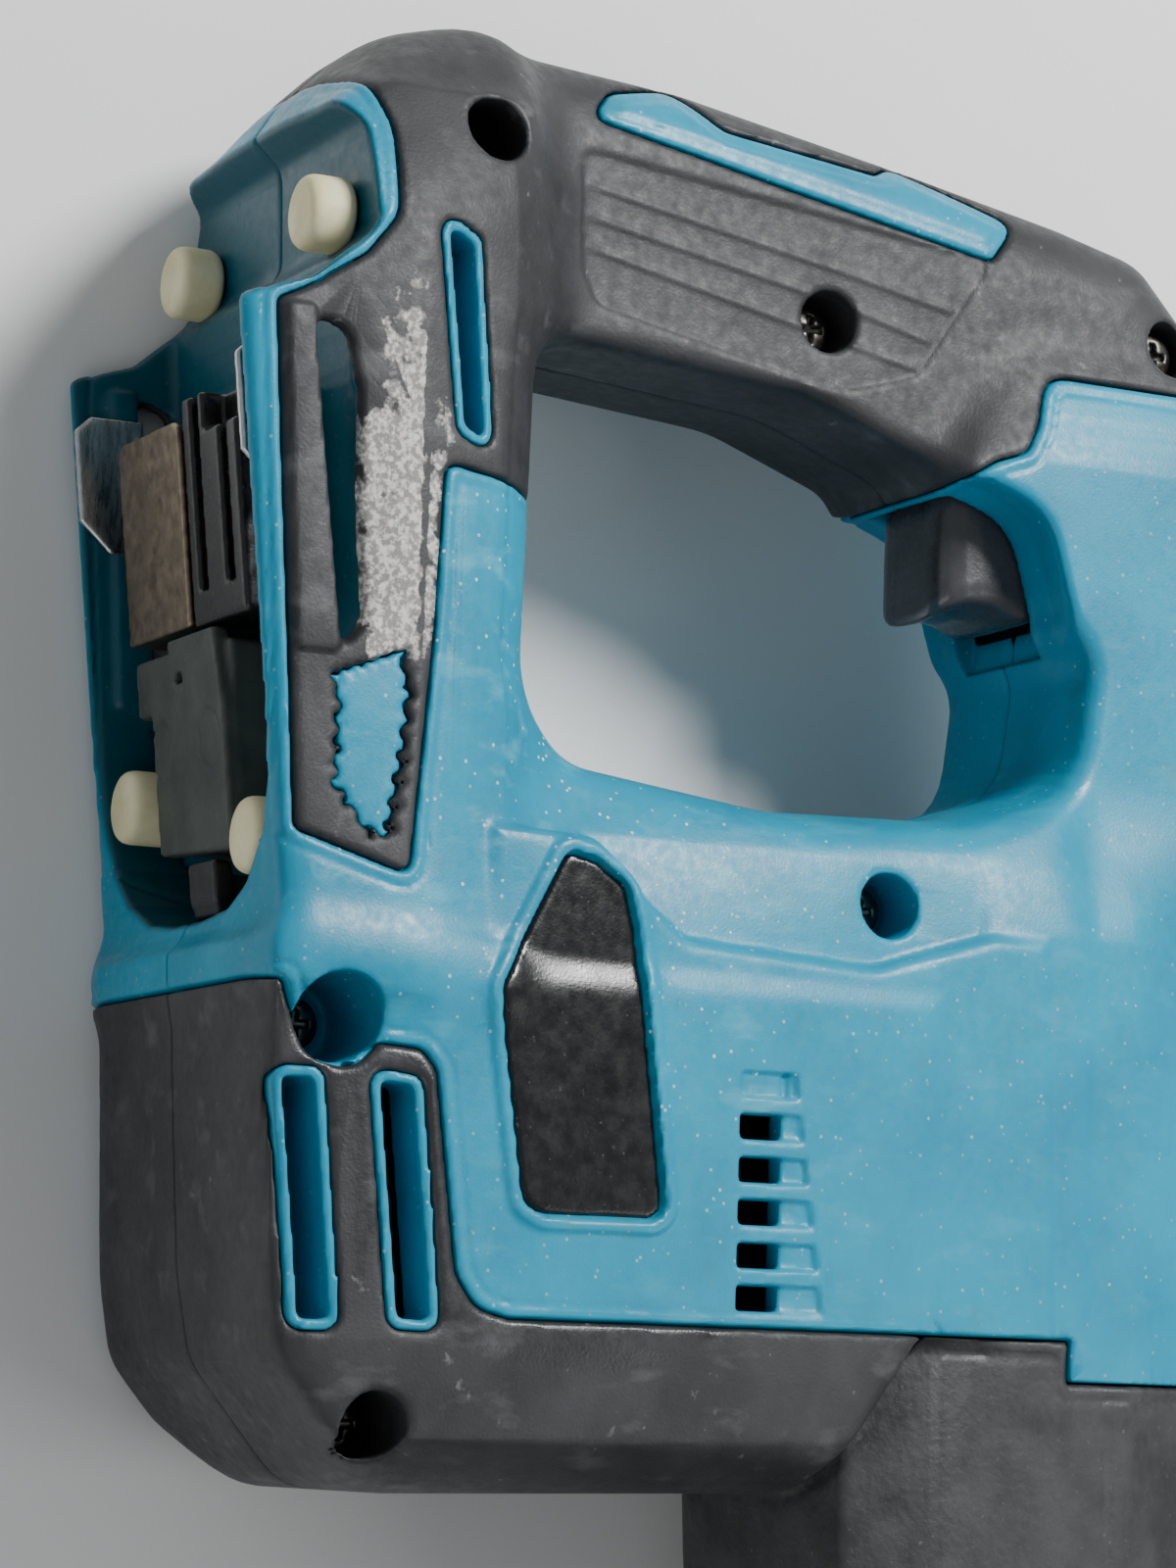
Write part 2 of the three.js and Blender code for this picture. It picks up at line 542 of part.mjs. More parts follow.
add("gear_housing", gearCase, ALUMINIUM);

const LAMP = { from: 366, low: -31.5, high: -27, half: 5 };
const lampHole = box(
  LAMP.from - GAP, 400, LAMP.low - GAP, LAMP.high + GAP, -LAMP.half - GAP, LAMP.half + GAP,
);
const cover = whole
  .subtract(form(SKIN))
  .intersect(column(NOSE_AREA, -GAP / 2))
  .add(whole.intersect(box(346 + 2 * GAP, NOSE_FRONT, -60, 60, -60, 60)))
  .subtract(well(0))
  .subtract(mouth)
  .subtract(postWay(GAP))
  .subtract(lampHole)
  .subtract(buttonWay);
add("front_cover", cover, SOFT_BLACK);
add("lamp", box(LAMP.from, NOSE_FRONT - 0.5, LAMP.low, LAMP.high, -LAMP.half, LAMP.half), CLEAR);

// ---------------------------------------------------------------- blade clamp and blade
const CLAMP = { from: 358, to: 375, radius: 10, sleeveFrom: 360, sleeve: 14.5 };
const tangWay = box(BLADE.from - GAP, 400, BLADE.bottom - 1, BLADE.top + 1, -0.9, 0.9);
add("clamp_body", rod(CLAMP.radius, "x", CLAMP.from, CLAMP.to, onBlade, 24).subtract(tangWay), STEEL);
const knurls = Array.from({ length: 12 }, (_, i) => {
  const turn = (i * Math.PI) / 6;
  const [y, z] = [Math.cos(turn), Math.sin(turn)].map((side) => side * (CLAMP.sleeve + 0.6));
  return rod(1.4, "x", CLAMP.sleeveFrom - 1, CLAMP.to + 1, [y, z], 8);
});
const sleeve = ring(CLAMP.radius + GAP, CLAMP.sleeve, "x", CLAMP.sleeveFrom, CLAMP.to - 1, onBlade, 24);
add("clamp_sleeve", sleeve.subtract(union(knurls)), DARK_STEEL);

const TEETH = { pitch: 4.2, depth: 2, from: 392, tip: 500 };
const teeth = [];
for (let x = TEETH.from; x < TEETH.tip; x += TEETH.pitch) {
  teeth.push([x, BLADE.bottom + TEETH.depth], [x + TEETH.pitch - 1, BLADE.bottom]);
}
const blade = [
  [BLADE.from, -5], [374, -5], [386, BLADE.bottom + TEETH.depth], ...teeth,
  [BLADE.to, -2], [BLADE.to - 6, BLADE.top, 3], [386, BLADE.top], [374, 6], [BLADE.from, 6],
];
add("blade", prism(blade, "z", -BLADE.thick / 2, BLADE.thick / 2), STEEL);

// ---------------------------------------------------------------- shoe
const HINGE = { x: 389, y: -22.5, pin: 3 };
const onHinge = [HINGE.x, HINGE.y];
const postSlots = [306, 330].map((x) => box(x, x + 16, -30, -15, -2.5, 2.5));
const knuckle = rod(5.5, "z", -POST.half, POST.half, onHinge, 20);
const postPlate = box(POST.from, POST.to - 5, POST.low, POST.high, -POST.half, POST.half);
const post = postPlate.add(knuckle).subtract(rod(HINGE.pin + GAP, "z", -20, 20, onHinge, 20));
add("shoe_post", post.subtract(union(postSlots)), STEEL);
add("shoe_pin", rod(HINGE.pin, "z", -13, 13, onHinge, 16), DARK_STEEL);
const face = prism(
  [[-34, -20, 6], [30, -20, 6], [30, 20, 6], [-34, 20, 6]], "x", SHOE_FACE - 2.5, SHOE_FACE,
);
const bladeWindow = prism([[-20, -5, 3], [22, -5, 3], [22, 5, 3], [-20, 5, 3]], "x", 400, 410);
const ear = [[SHOE_FACE - 2, -32], [SHOE_FACE - 2, -13], [388, -16, 4], [382, -24, 4], [390, -30, 4]];
const ears = [[9.5, 12], [-12, -9.5]].map(([from, to]) => prism(ear, "z", from, to));
const shoe = union([face, ...ears]).subtract(bladeWindow);
add("shoe", shoe.subtract(rod(HINGE.pin + GAP, "z", -20, 20, onHinge, 20)), STEEL);
const buttonProfile = [[0, -34.5], [BUTTON.half - 1, -34.5], [BUTTON.half, -33.5], [BUTTON.half, -29], [0, -29]];
add("shoe_button", turned(buttonProfile, "y", [0, BUTTON.x], 16), HARD_BLACK);

// ---------------------------------------------------------------- placing
// The origin goes to the middle of the underside as the saw lies on its left side.
const assembly = new THREE.Group().add(...parts);
const bounds = new THREE.Box3().setFromObject(assembly);
const middle = bounds.getCenter(new THREE.Vector3()).setZ(bounds.min.z);
parts.forEach((mesh) => mesh.geometry.translate(-middle.x, -middle.y, -middle.z));

export default assembly;
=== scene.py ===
"""A cordless reciprocating saw, lying on its left side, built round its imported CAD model.

Shapes are drawn in saw coordinates, in millimetres: x runs forward from the back of the handle, y up from
the blade's axis, and z to the saw's right from the plane where its two halves meet. saw_to_row() turns them
into the frame's metres. Moulded pieces are signed distances on a grid, so that faces blend as mouldings do.
"""

import json
from math import cos, pi, radians, sin, sqrt

import bpy
import numpy as np
from mathutils import Matrix, Vector


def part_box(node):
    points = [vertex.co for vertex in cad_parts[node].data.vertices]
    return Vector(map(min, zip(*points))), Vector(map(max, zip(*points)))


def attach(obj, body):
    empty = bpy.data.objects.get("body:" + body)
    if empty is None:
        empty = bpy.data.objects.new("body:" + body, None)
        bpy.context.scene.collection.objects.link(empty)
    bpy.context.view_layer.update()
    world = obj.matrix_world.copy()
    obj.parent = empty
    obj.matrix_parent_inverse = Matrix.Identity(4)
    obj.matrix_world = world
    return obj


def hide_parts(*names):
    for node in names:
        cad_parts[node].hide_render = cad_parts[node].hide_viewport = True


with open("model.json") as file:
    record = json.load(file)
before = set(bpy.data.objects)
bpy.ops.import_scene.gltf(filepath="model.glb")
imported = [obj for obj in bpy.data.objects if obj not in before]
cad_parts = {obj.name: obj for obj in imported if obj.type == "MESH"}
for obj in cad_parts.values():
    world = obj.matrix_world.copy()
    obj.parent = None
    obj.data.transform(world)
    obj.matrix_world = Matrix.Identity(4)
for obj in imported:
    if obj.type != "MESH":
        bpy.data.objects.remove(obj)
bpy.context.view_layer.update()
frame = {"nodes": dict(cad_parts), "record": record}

# ------------------------------------------------------------------ places and sizes
shaft_low, shaft_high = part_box("slider_shaft")
crank_low, crank_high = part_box("crank_shaft")
CRANK_X = 212  # the crank's place in saw coordinates
MM = 0.001
ORIGIN = np.array([
    (crank_low.x + crank_high.x) / 2 - CRANK_X * MM,
    (shaft_low.y + shaft_high.y) / 2,
    (shaft_low.z + shaft_high.z) / 2,
])
FINE = 1.0  # grid step, as a share of the final one


def saw_to_row(points):
    return np.asarray(points, float) * MM + ORIGIN


# ------------------------------------------------------------------ camera
LENS, SENSOR = 112.5, 36.0
LOOK_AT = (114, -70, 0)
DISTANCE = 0.780
TOWARDS_CAMERA = (0.13, -0.43)  # its direction's x and y
ROLL = radians(1.6)


def add_camera():
    x, y = TOWARDS_CAMERA
    back = Vector((x, y, sqrt(1 - x * x - y * y)))
    up = Vector((-1, 0, 0))
    up = (up - up.dot(back) * back).normalized()
    right = up.cross(back)
    up, right = up * cos(ROLL) - right * sin(ROLL), right * cos(ROLL) + up * sin(ROLL)
    camera = bpy.data.objects.new("camera", bpy.data.cameras.new("camera"))
    camera.data.lens = LENS
    camera.data.sensor_width = SENSOR
    camera.data.sensor_fit = "AUTO"
    camera.data.clip_start = 0.01
    place = Vector(saw_to_row(LOOK_AT)) + back * DISTANCE
    camera.matrix_world = Matrix.Translation(place) @ Matrix((right, up, back)).transposed().to_4x4()
    bpy.context.scene.collection.objects.link(camera)
    bpy.context.scene.camera = camera


add_camera()


# ------------------------------------------------------------------ signed distances
def join(a, b, k=0.0):
    """Both shapes, with the crease between them filled to about radius k."""
    if not k:
        return np.minimum(a, b)
    h = np.clip(0.5 + 0.5 * (b - a) / k, 0, 1)
    return b + (a - b) * h - k * h * (1 - h)


def meet(a, b, k=0.0):
    """What the two shapes share, with its edges rounded to about radius k."""
    return -join(-a, -b, k)


def cut(a, b, k=0.0):
    return meet(a, -b, k)


def outline(points, steps=5):
    """Corner points [a, b, radius] as a polyline, its corners rounded."""
    out = []
    for i, (a, b, *rest) in enumerate(points):
        corner = np.array([a, b], float)
        if not rest:
            out.append(corner)
            continue
        before = np.array(points[i - 1][:2], float) - corner
        after = np.array(points[(i + 1) % len(points)][:2], float) - corner
        before_len, after_len = np.linalg.norm(before), np.linalg.norm(after)
        angle = np.arccos(np.clip(before @ after / before_len / after_len, -1, 1))
        reach = min(rest[0] / np.tan(angle / 2), 0.49 * before_len, 0.49 * after_len)
        start, end = corner + before / before_len * reach, corner + after / after_len * reach
        for t in np.linspace(0, 1, steps + 1):
            out.append((1 - t) ** 2 * start + 2 * t * (1 - t) * corner + t * t * end)
    return np.array(out)


def area(points, a, b, steps=5):
    """Distance to the outline in the plane of a and b, negative inside."""
    line = outline(points, steps)
    nearest = np.full(np.broadcast(a, b).shape, 1e9, np.float32)
    inside = np.zeros(nearest.shape, bool)
    for (x0, y0), (x1, y1) in zip(line, np.roll(line, -1, 0)):
        ex, ey = x1 - x0, y1 - y0
        if ex == 0 and ey == 0:
            continue
        wx, wy = a - x0, b - y0
        t = np.clip((wx * ex + wy * ey) / (ex * ex + ey * ey), 0, 1)
        nearest = np.minimum(nearest, (wx - t * ex) ** 2 + (wy - t * ey) ** 2)
        if ey:
            inside ^= ((y0 <= b) != (y1 <= b)) & (a < x0 + wy * ex / ey)
    return np.where(inside, -1, 1).astype(np.float32) * np.sqrt(nearest)


def profile(half, place, width):
    """Distance to a symmetric outline given as [place, half width] from its low end to its high end."""
    points = [[a, -b] for a, b in half] + [[a, b] for a, b in reversed(half)]
    return area(points, place, width)


def disc(a, b, centre, radius):
    return np.hypot(a - centre[0], b - centre[1]) - radius


def block(x, y, z, low, high, k=0.0):
    """A box with edges rounded to about radius k."""
    spans = [
        np.maximum(low[i] - axis, axis - high[i]) for i, axis in enumerate((x, y, z))
    ]
    return meet(meet(spans[0], spans[1], k), spans[2], k)


# ------------------------------------------------------------------ meshes from distances
def grid(low, high, step):
    axes = [np.arange(a, b + step, step, dtype=np.float32) for a, b in zip(low, high)]
    return (
        axes[0][:, None, None],
        axes[1][None, :, None],
        axes[2][None, None, :],
    )


def surface(field, low, step):
    """Surface nets: one vertex in each cell that the surface crosses. Returns vertices and quads."""
    inside = field < 0
    cells = tuple(n - 1 for n in field.shape)
    corner_count = np.zeros(cells, np.int8)
    for dx in (0, 1):
        for dy in (0, 1):
            for dz in (0, 1):
                corner_count += inside[dx:dx + cells[0], dy:dy + cells[1], dz:dz + cells[2]]
    where = np.argwhere((corner_count > 0) & (corner_count < 8))
    index = np.full(cells, -1, np.int32)
    index[tuple(where.T)] = np.arange(len(where))
    total = np.zeros((len(where), 3), np.float32)
    crossings = np.zeros(len(where), np.float32)
    for axis in range(3):
        others = [i for i in range(3) if i != axis]
        for offset in [(0, 0), (1, 0), (0, 1), (1, 1)]:
            start = np.zeros(3, int)
            start[others] = offset
            end = start.copy()
            end[axis] = 1
            a = field[tuple((where + start).T)]
            b = field[tuple((where + end).T)]
            crossed = (a < 0) != (b < 0)
            t = np.where(crossed, a / np.where(crossed, a - b, 1), 0)
            point = np.tile(start.astype(np.float32), (len(where), 1))
            point[:, axis] = t
            total += point * crossed[:, None]
            crossings += crossed
    vertices = (where + total / crossings[:, None]) * step + np.asarray(low, np.float32)
    quads = []
    for axis in range(3):
        b_axis, c_axis = [(1, 2), (2, 0), (0, 1)][axis]
        near = [slice(1, -1)] * 3
        near[axis] = slice(0, -1)
        far = list(near)
        far[axis] = slice(1, None)
        first, second = inside[tuple(near)], inside[tuple(far)]
        spots = np.argwhere(first != second)
        spots[:, b_axis] += 1
        spots[:, c_axis] += 1
        around = []
        for db, dc in [(-1, -1), (0, -1), (0, 0), (-1, 0)]:
            cell = spots.copy()
            cell[:, b_axis] += db
            cell[:, c_axis] += dc
            around.append(index[tuple(cell.T)])
        around = np.stack(around, 1)
        outward = first[tuple((spots - [int(i != axis) for i in range(3)]).T)]
        quads.append(np.where(outward[:, None], around, around[:, ::-1]))
    return vertices, np.concatenate(quads)


def make_mesh(name, vertices, faces):
    mesh = bpy.data.meshes.new(name)
    mesh.vertices.add(len(vertices))
    mesh.vertices.foreach_set("co", saw_to_row(vertices).astype(np.float32).ravel())
    size = faces.shape[1]
    mesh.loops.add(faces.size)
    mesh.loops.foreach_set("vertex_index", faces.ravel())
    mesh.polygons.add(len(faces))
    mesh.polygons.foreach_set("loop_start", np.arange(len(faces)) * size)
    mesh.polygons.foreach_set("use_smooth", np.ones(len(faces), bool))
    mesh.update(calc_edges=True)
    mesh.validate()
    return mesh


def thinned(mesh, share):
    """The mesh with its flat areas made of fewer, larger faces."""
    thing = bpy.data.objects.new("thinned", mesh)
    bpy.context.scene.collection.objects.link(thing)
    modifier = thing.modifiers.new("thin", "DECIMATE")
    modifier.ratio = share
    found = bpy.context.evaluated_depsgraph_get()
    thin = bpy.data.meshes.new_from_object(thing.evaluated_get(found))
    thin.name = mesh.name
    bpy.data.objects.remove(thing)
    return thin


def saw_vertices(mesh):
    """The mesh's vertices in saw coordinates."""
    points = np.zeros(len(mesh.vertices) * 3, np.float32)
    mesh.vertices.foreach_get("co", points)
    return (points.reshape(-1, 3) - ORIGIN) / MM


def paint(mesh, **layers):
    """Stores a number at each vertex, which a material reads by its name."""
    x, y, z = saw_vertices(mesh).T
    for name, value in layers.items():
        attribute = mesh.attributes.new(name, "FLOAT", "POINT")
        attribute.data.foreach_set("value", np.broadcast_to(value(x, y, z), x.shape).astype(np.float32))


def piece(name, mesh, body, slot, material, *nodes):
    thing = bpy.data.objects.new(name, mesh)
    bpy.context.scene.collection.objects.link(thing)
    thing.data.materials.append(material)
    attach(thing, body)
    if nodes:
        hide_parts(*nodes)
    return thing


def shaped(name, field, low, step, share=1.0, mirror=False):
    """A mesh of where the field is zero, on the saw's left if mirror is set."""
    vertices, quads = surface(field, low, step)
    if mirror:
        vertices = vertices * [1, 1, -1]
        quads = quads[:, ::-1]
    mesh = make_mesh(name, vertices, quads)
    return thinned(mesh, share) if share < 1 else mesh


def moulded(name, shape, low, high, step, body, slot, material, *nodes, share=1.0):
    """A piece whose surface is where shape(x, y, z) is zero."""
    step *= FINE
    mesh = shaped(name, shape(*grid(low, high, step)), low, step, share)
    return piece(name, mesh, body, slot, material, *nodes)


# ------------------------------------------------------------------ the saw's outside
HALF = 40.5  # widest half width
SKIN = 2.0  # soft covering
WALL = 4.5
SEAM = 0.15  # half the gap between the two halves
HANDLE = [
    [14, -124.5], [4, -115.5, 14], [-1.6, -97, 18], [1.2, -62, 30], [8.6, -19, 30], [14, 9, 20],
    [18, 25, 12], [30, 36, 14], [50, 42.2, 14], [190, 41, 4], [190, -60, 4], [140, -124, 4],
]
OPENING = [
    [47, -90.5, 9], [103, -91.8, 14], [113, -84, 10], [117.8, -48, 40], [117, -16, 16],
    [110, 5, 12], [90, 7.5, 8], [70, -13, 4], [60, -19.5, 10], [51.5, -42, 30],
]
ARCH = [[67, -34], [97, -34], [97, 4.4], [82, 3.4, 10], [67, -0.8, 12], [63, -12, 10], [66, -24, 8]]
DOCK_X, DOCK_Y, DOCK_SLOPE, DOCK_DEPTH, DOCK_HALF, DOCK_END = 51.7, -146.5, 0.109, 18, 35.5, 141


def form_of(side, end, top, x, y, w, k):
    """A body from its side view, and its half widths by height and by length, with edges of radius k."""
    return meet(meet(area(side, x, y), profile(end, y, w), k), profile(top, x, w), k)


def dock_space(x, y, w):
    """The battery dock: a sloping channel, and the way in at its back."""
    into = (y - DOCK_Y) - (x - DOCK_X) * DOCK_SLOPE
    plan = area(
        [[-60, -DOCK_HALF], [DOCK_END, -DOCK_HALF, 30], [DOCK_END, DOCK_HALF, 30], [-60, DOCK_HALF]],
        x, w,
    )
    channel = meet(into - DOCK_DEPTH, plan, 2)
    entry = area([[-30, -190], [51, -190], [51.5, -149], [47.5, -136, 6], [38.5, -125.8, 5],
                  [22, -126.5, 4], [17, -132], [-30, -132]], x, y)
    return join(channel, entry, 1)


def outside(x, y, z):
    """The whole moulding, as if it were solid."""
    w = np.abs(z)
    handle = meet(area(HANDLE, x, y), w - 19.2, 18)
    column = form_of(
        [[18.5, -131.5], [51.7, -147], [152, -136], [152, -90], [24, -90], [0, -99, 10], [4, -115, 10]],
        [[-155, HALF], [-117, HALF], [-101, 35.5], [-84, 20]],
        [[-2, 15], [14, 31], [36, HALF], [153, HALF]], x, y, w, 5,
    )
    motor = form_of(
        [[146, -140.4], [194, -136.9], [207, -134.5, 12], [227, -118, 14], [225, -43], [200, -25],
         [146, -22]],
        [[-142, 30], [-139.5, 34], [-137, 37], [-113, HALF], [-75, 38.5], [-20, 34]],
        [[143, HALF], [204, HALF], [218, 37], [228, 22]], x, y, w, 5,
    )
    low_body = form_of(
        [[112, -94], [147, -130], [201, -130], [201, 4], [112, 4]],
        [[-131, 30], [-112, 38.5], [-75, 35.5], [-30, 31.5], [5, 31.5]],
        [[112, 23], [126, 31.5], [150, 39], [202, 39]], x, y, w, 6,
    )
    plateau = form_of(
        [[126, -104], [127, -86, 4], [135, -78, 4], [141.5, -70, 6], [143.5, -36, 8], [137, -14, 6],
         [137, -3.5], [201, -1.5], [201, -104]],
        [[-105, 38.6], [-75, 37.2], [-30, 34.2], [0, 32.8]],
        [[120, 32], [127, 38.4], [150, 39], [202, 39]], x, y, w, 2.5,
    )
    upper = form_of(
        [[60, -14], [200, -14], [200, 42.5], [50, 42.5, 10], [44, 38], [44, 0]],
        [[-15, 25], [27, 24.5], [36, 18], [43.5, 5]],
        [[43, 17], [58, 25], [202, 25]], x, y, w, 7,
    )
    barrel = form_of(
        [[112, -14], [214, -14], [214, 43], [112, 43]],
        [[-15, 32], [2, 32], [14, 31], [28, 26], [38, 16], [43.4, 5]],
        [[110, 20], [136, 32.5], [215, 32.5]], x, y, w, 5,
    )
    gearing = form_of(
        [[190, -20], [222, -42, 3], [268, -31], [268, 31], [238, 38, 10], [190, 42.5]],
        [[-43, 16], [-36, 27], [-20, 31.5], [0, 31.8], [14, 30.4], [28, 25.4], [38, 15.5], [43, 5]],
        [[189, 32], [240, 32], [269, 28]], x, y, w, 4,
    )
    nose = form_of(
        [[252, -31.5], [372, -33, 2], [372, 28, 2], [252, 31.5]],
        [[-33.5, 11], [-24, 23], [-8, 28], [8, 28], [22, 22], [32, 9]],
        [[251, 28.5], [330, 26.5], [373, 26.5]], x, y, w, 4,
    )
    body = join(join(low_body, motor, 3), column, 8)
    body = join(join(body, upper, 6), barrel, 4)
    body = join(body, handle, 12)
    flare = 12 * (1 - np.sqrt(1 - np.clip((w - 9) / 26, 0, 0.98) ** 2))
    body = cut(body, area(OPENING, x, y) - flare, 3)
    body = join(body, plateau, 1)
    body = cut(body, area(ARCH, x, y) - np.clip(w - 14, 0, 4) * 0.3, 2)
    body = join(body, join(gearing, nose, 6), 1.5)
    return cut(body, dock_space(x, y, w), 1)


# ------------------------------------------------------------------ areas of the side view
GRIP = [
    [-30, -124], [14, -125], [22, -121.8, 12], [36.5, -122.5, 6], [43, -127.5, 5], [49.5, -137.5, 3],
    [51.5, -141.6, 1.5], [73, -140.1], [112, -137.1], [130, -135.8, 2], [135.5, -117.5, 2],
    [98, -114.4], [73, -113.4, 2.5], [76, -85],
    [60, -60], [60, -27], [70, -24.5, 3], [67, -20.5, 4], [63, -16, 4], [58.8, -9.4, 6],
    [56.9, -3.9, 4], [51.9, -1.3, 4], [43, 1, 6], [44, 60], [-30, 60],
]
BUMPER = [
    [150, -150], [240, -150], [240, -60], [228, -60], [225, -43.8], [200, -25.4], [200, -99, 4],
    [198.6, -104.6, 6], [193.7, -108, 6], [164, -112, 3], [161, -114.5, 3], [160.5, -121],
    [164.6, -125, 5], [163, -132, 5], [156, -135], [152, -137],
]
NOSE = [
    [200, -25], [225, -43.4], [228, -60], [420, -60], [420, 60], [206.5, 60], [206.5, 1.8], [200, 1.8],
]
ACCENT = [
    [10.9, -81.4, 2], [17.5, -47.3], [24.7, -8.3, 2], [17.2, -2.1, 3], [9.6, -23.9, 3],
    [12.1, -28.4, 3], [9.1, -56.9, 5], [2.4, -65.2, 4], [5.6, -77, 5],
]
POCKET = [[166, -135.6, 1], [201, -132, 1], [201, -127.4, 1], [166, -130.9, 1]]
BUMPER_SLOT = [[166, -120.7, 1], [200.5, -117, 1], [200.7, -112, 1], [166.5, -115.7, 1]]
COLUMN_SLOT = [[37, -114, 1], [67, -110.2, 1], [68.5, -106.7, 1], [39, -109.7, 1]]
SLOTS = [POCKET, BUMPER_SLOT, COLUMN_SLOT]
RIM = 1.6  # hard rim round a slot
LABEL = [
    [151.2, -102.1, 3], [182.8, -97.4, 5], [184.4, -94, 5], [184.3, -75.3, 4], [182.8, -73.7, 3],
    [140.8, -79.1, 4], [134.2, -80.9, 3], [130.9, -86, 3], [129.8, -91, 2],
]
VENT_FIRST, VENT_PITCH, VENT_WIDTH, VENT_LOW, VENT_HIGH = 167.6, 6.5, 3.8, -60.5, -53
SCREWS = {  # x, y, the depth of its seat, its recess's radius, whether the soft covering lines it
    "corner": (19.2, -103.8, 12, 5.2, True), "handle": (38.4, -38.2, 9, 5, True),
    "top": (35, 27, 9, 5, True), "body": (133.4, -31.9, 18, 5.2, False),
    "dock": (157, -127.5, 18, 6.6, False), "bumper": (216, -119, 20, 5, True),
}
GRIP_PANEL = [
    [16.1, -83.4, 3], [35.2, -83, 8], [41.1, -80.3, 5], [50, -36.3, 20], [45.9, -21.9, 8], [25.1, -8.3, 2],
]
GRIP_LINES = [
    [[21.8, -82], [30, -36], [34, -16]], [[26.8, -82], [35.4, -36], [39.5, -20]],
    [[31.8, -82], [41, -38], [44.4, -22]],
]
COLUMN_RIB = [
    [52, -140.4, 1], [103.5, -137, 1], [103.5, -129.8, 2], [88, -131.6], [72, -133.6], [52, -135.8, 1],
]
COLUMN_GROOVE = [
    [53, -135.4, 2], [72, -133.3], [88, -131.3], [103, -129.4, 2], [98, -126, 4], [82, -127.4],
    [64, -127.8], [55, -130, 3],
]
TORN = [
    [107, -130.4], [102.3, -119.5], [107.4, -118.4], [117.7, -119], [129.5, -120.9], [129.7, -124],
    [122.9, -129.8], [111.3, -129.4],
]


def distance_to(line, a, b):
    """Distance to an open line through the points given."""
    nearest = np.full(np.broadcast(a, b).shape, 1e9, np.float32)
    for (x0, y0), (x1, y1) in zip(line, line[1:]):
        ex, ey = x1 - x0, y1 - y0
        t = np.clip(((a - x0) * ex + (b - y0) * ey) / (ex * ex + ey * ey), 0, 1)
        nearest = np.minimum(nearest, np.hypot(a - x0 - t * ex, b - y0 - t * ey))
    return nearest


def ramp(distance, width):
    """1 where distance is well below zero and 0 where it is well above, over the given width."""
    return np.clip(0.5 - distance / width, 0, 1)


def band(distance, centre, width, soft=0.5):
    """1 where distance is within half the width of the centre."""
    return ramp(np.abs(distance - centre) - width / 2, soft)


def vents(x, y, low, high, first=0, count=5):
    """The distance to a row of openings between two heights."""
    nearest = 1e3
    for i in range(first, count):
        middle = VENT_FIRST + i * VENT_PITCH + VENT_WIDTH / 2
        along = np.abs(x - middle) - VENT_WIDTH / 2
        across = np.maximum(low - y, y - high)
        nearest = np.minimum(nearest, np.maximum(along, across))
    return nearest


def torn_area(x, y):
    """Where the covering has torn away, with a ragged edge."""
    ragged = 0.5 * np.sin(1.9 * x + 0.7 * y) + 0.35 * np.sin(2.7 * y - 1.3 * x)
    ragged = ragged + 0.2 * np.sin(5.1 * x + 3.7 * y)
    return area(TORN, x, y) + ragged


def soft_area(x, y, z):
    """Negative where a soft covering lies."""
    soft = np.minimum(area(GRIP, x, y), area(BUMPER, x, y))
    shown = np.minimum(area(ACCENT, x, y), torn_area(x, y))
    for slot in SLOTS:
        shown = np.minimum(shown, np.maximum(area(slot, x, y) - RIM, 33 - z))
    return np.maximum(soft, -shown)


def relief(x, y, labelled):
    """How far a side face stands proud of the plain form."""
    grip, accent, panel = area(GRIP, x, y), area(ACCENT, x, y), area(GRIP_PANEL, x, y)
    height = -0.45 * ramp(panel, 0.8)
    for line in GRIP_LINES:
        height = height + 0.35 * ramp(distance_to(line, x, y) - 0.4, 0.8) * ramp(panel + 0.5, 1)
    height = height + 0.3 * ramp(accent + 2.6, 0.7)
    height = height + 0.9 * ramp(area(COLUMN_RIB, x, y), 0.7)
    height = height - 2.4 * ramp(area(COLUMN_GROOVE, x, y), 1.4)
    height = height - 0.9 * ramp(torn_area(x, y), 0.8)
    height = height - 0.3 * band(grip, 2.4, 0.7)
    height = height - 0.3 * band(area(BUMPER, x, y), 2.2, 0.7)
    if labelled:
        label = area(LABEL, x, y)
        height = height + 0.7 * ramp(label - 2.4, 0.7) - 2.2 * ramp(label - 0.15, 0.5)
    slant = VENT_HIGH + 3.2 + (x - VENT_FIRST) * 0.15
    height = height - 0.8 * ramp(vents(x, y, VENT_HIGH, slant, -1), 0.5)
    height = height - 0.8 * ramp(vents(x, y, VENT_LOW, VENT_HIGH + 1, -1, 0), 0.5)
    return height


# ------------------------------------------------------------------ finishes
def colour(r, g, b):
    """A display colour, each channel from 0 to 255, as the linear colour that shaders take."""
    return tuple((c / 255) ** 2.2 for c in (r, g, b)) + (1.0,)


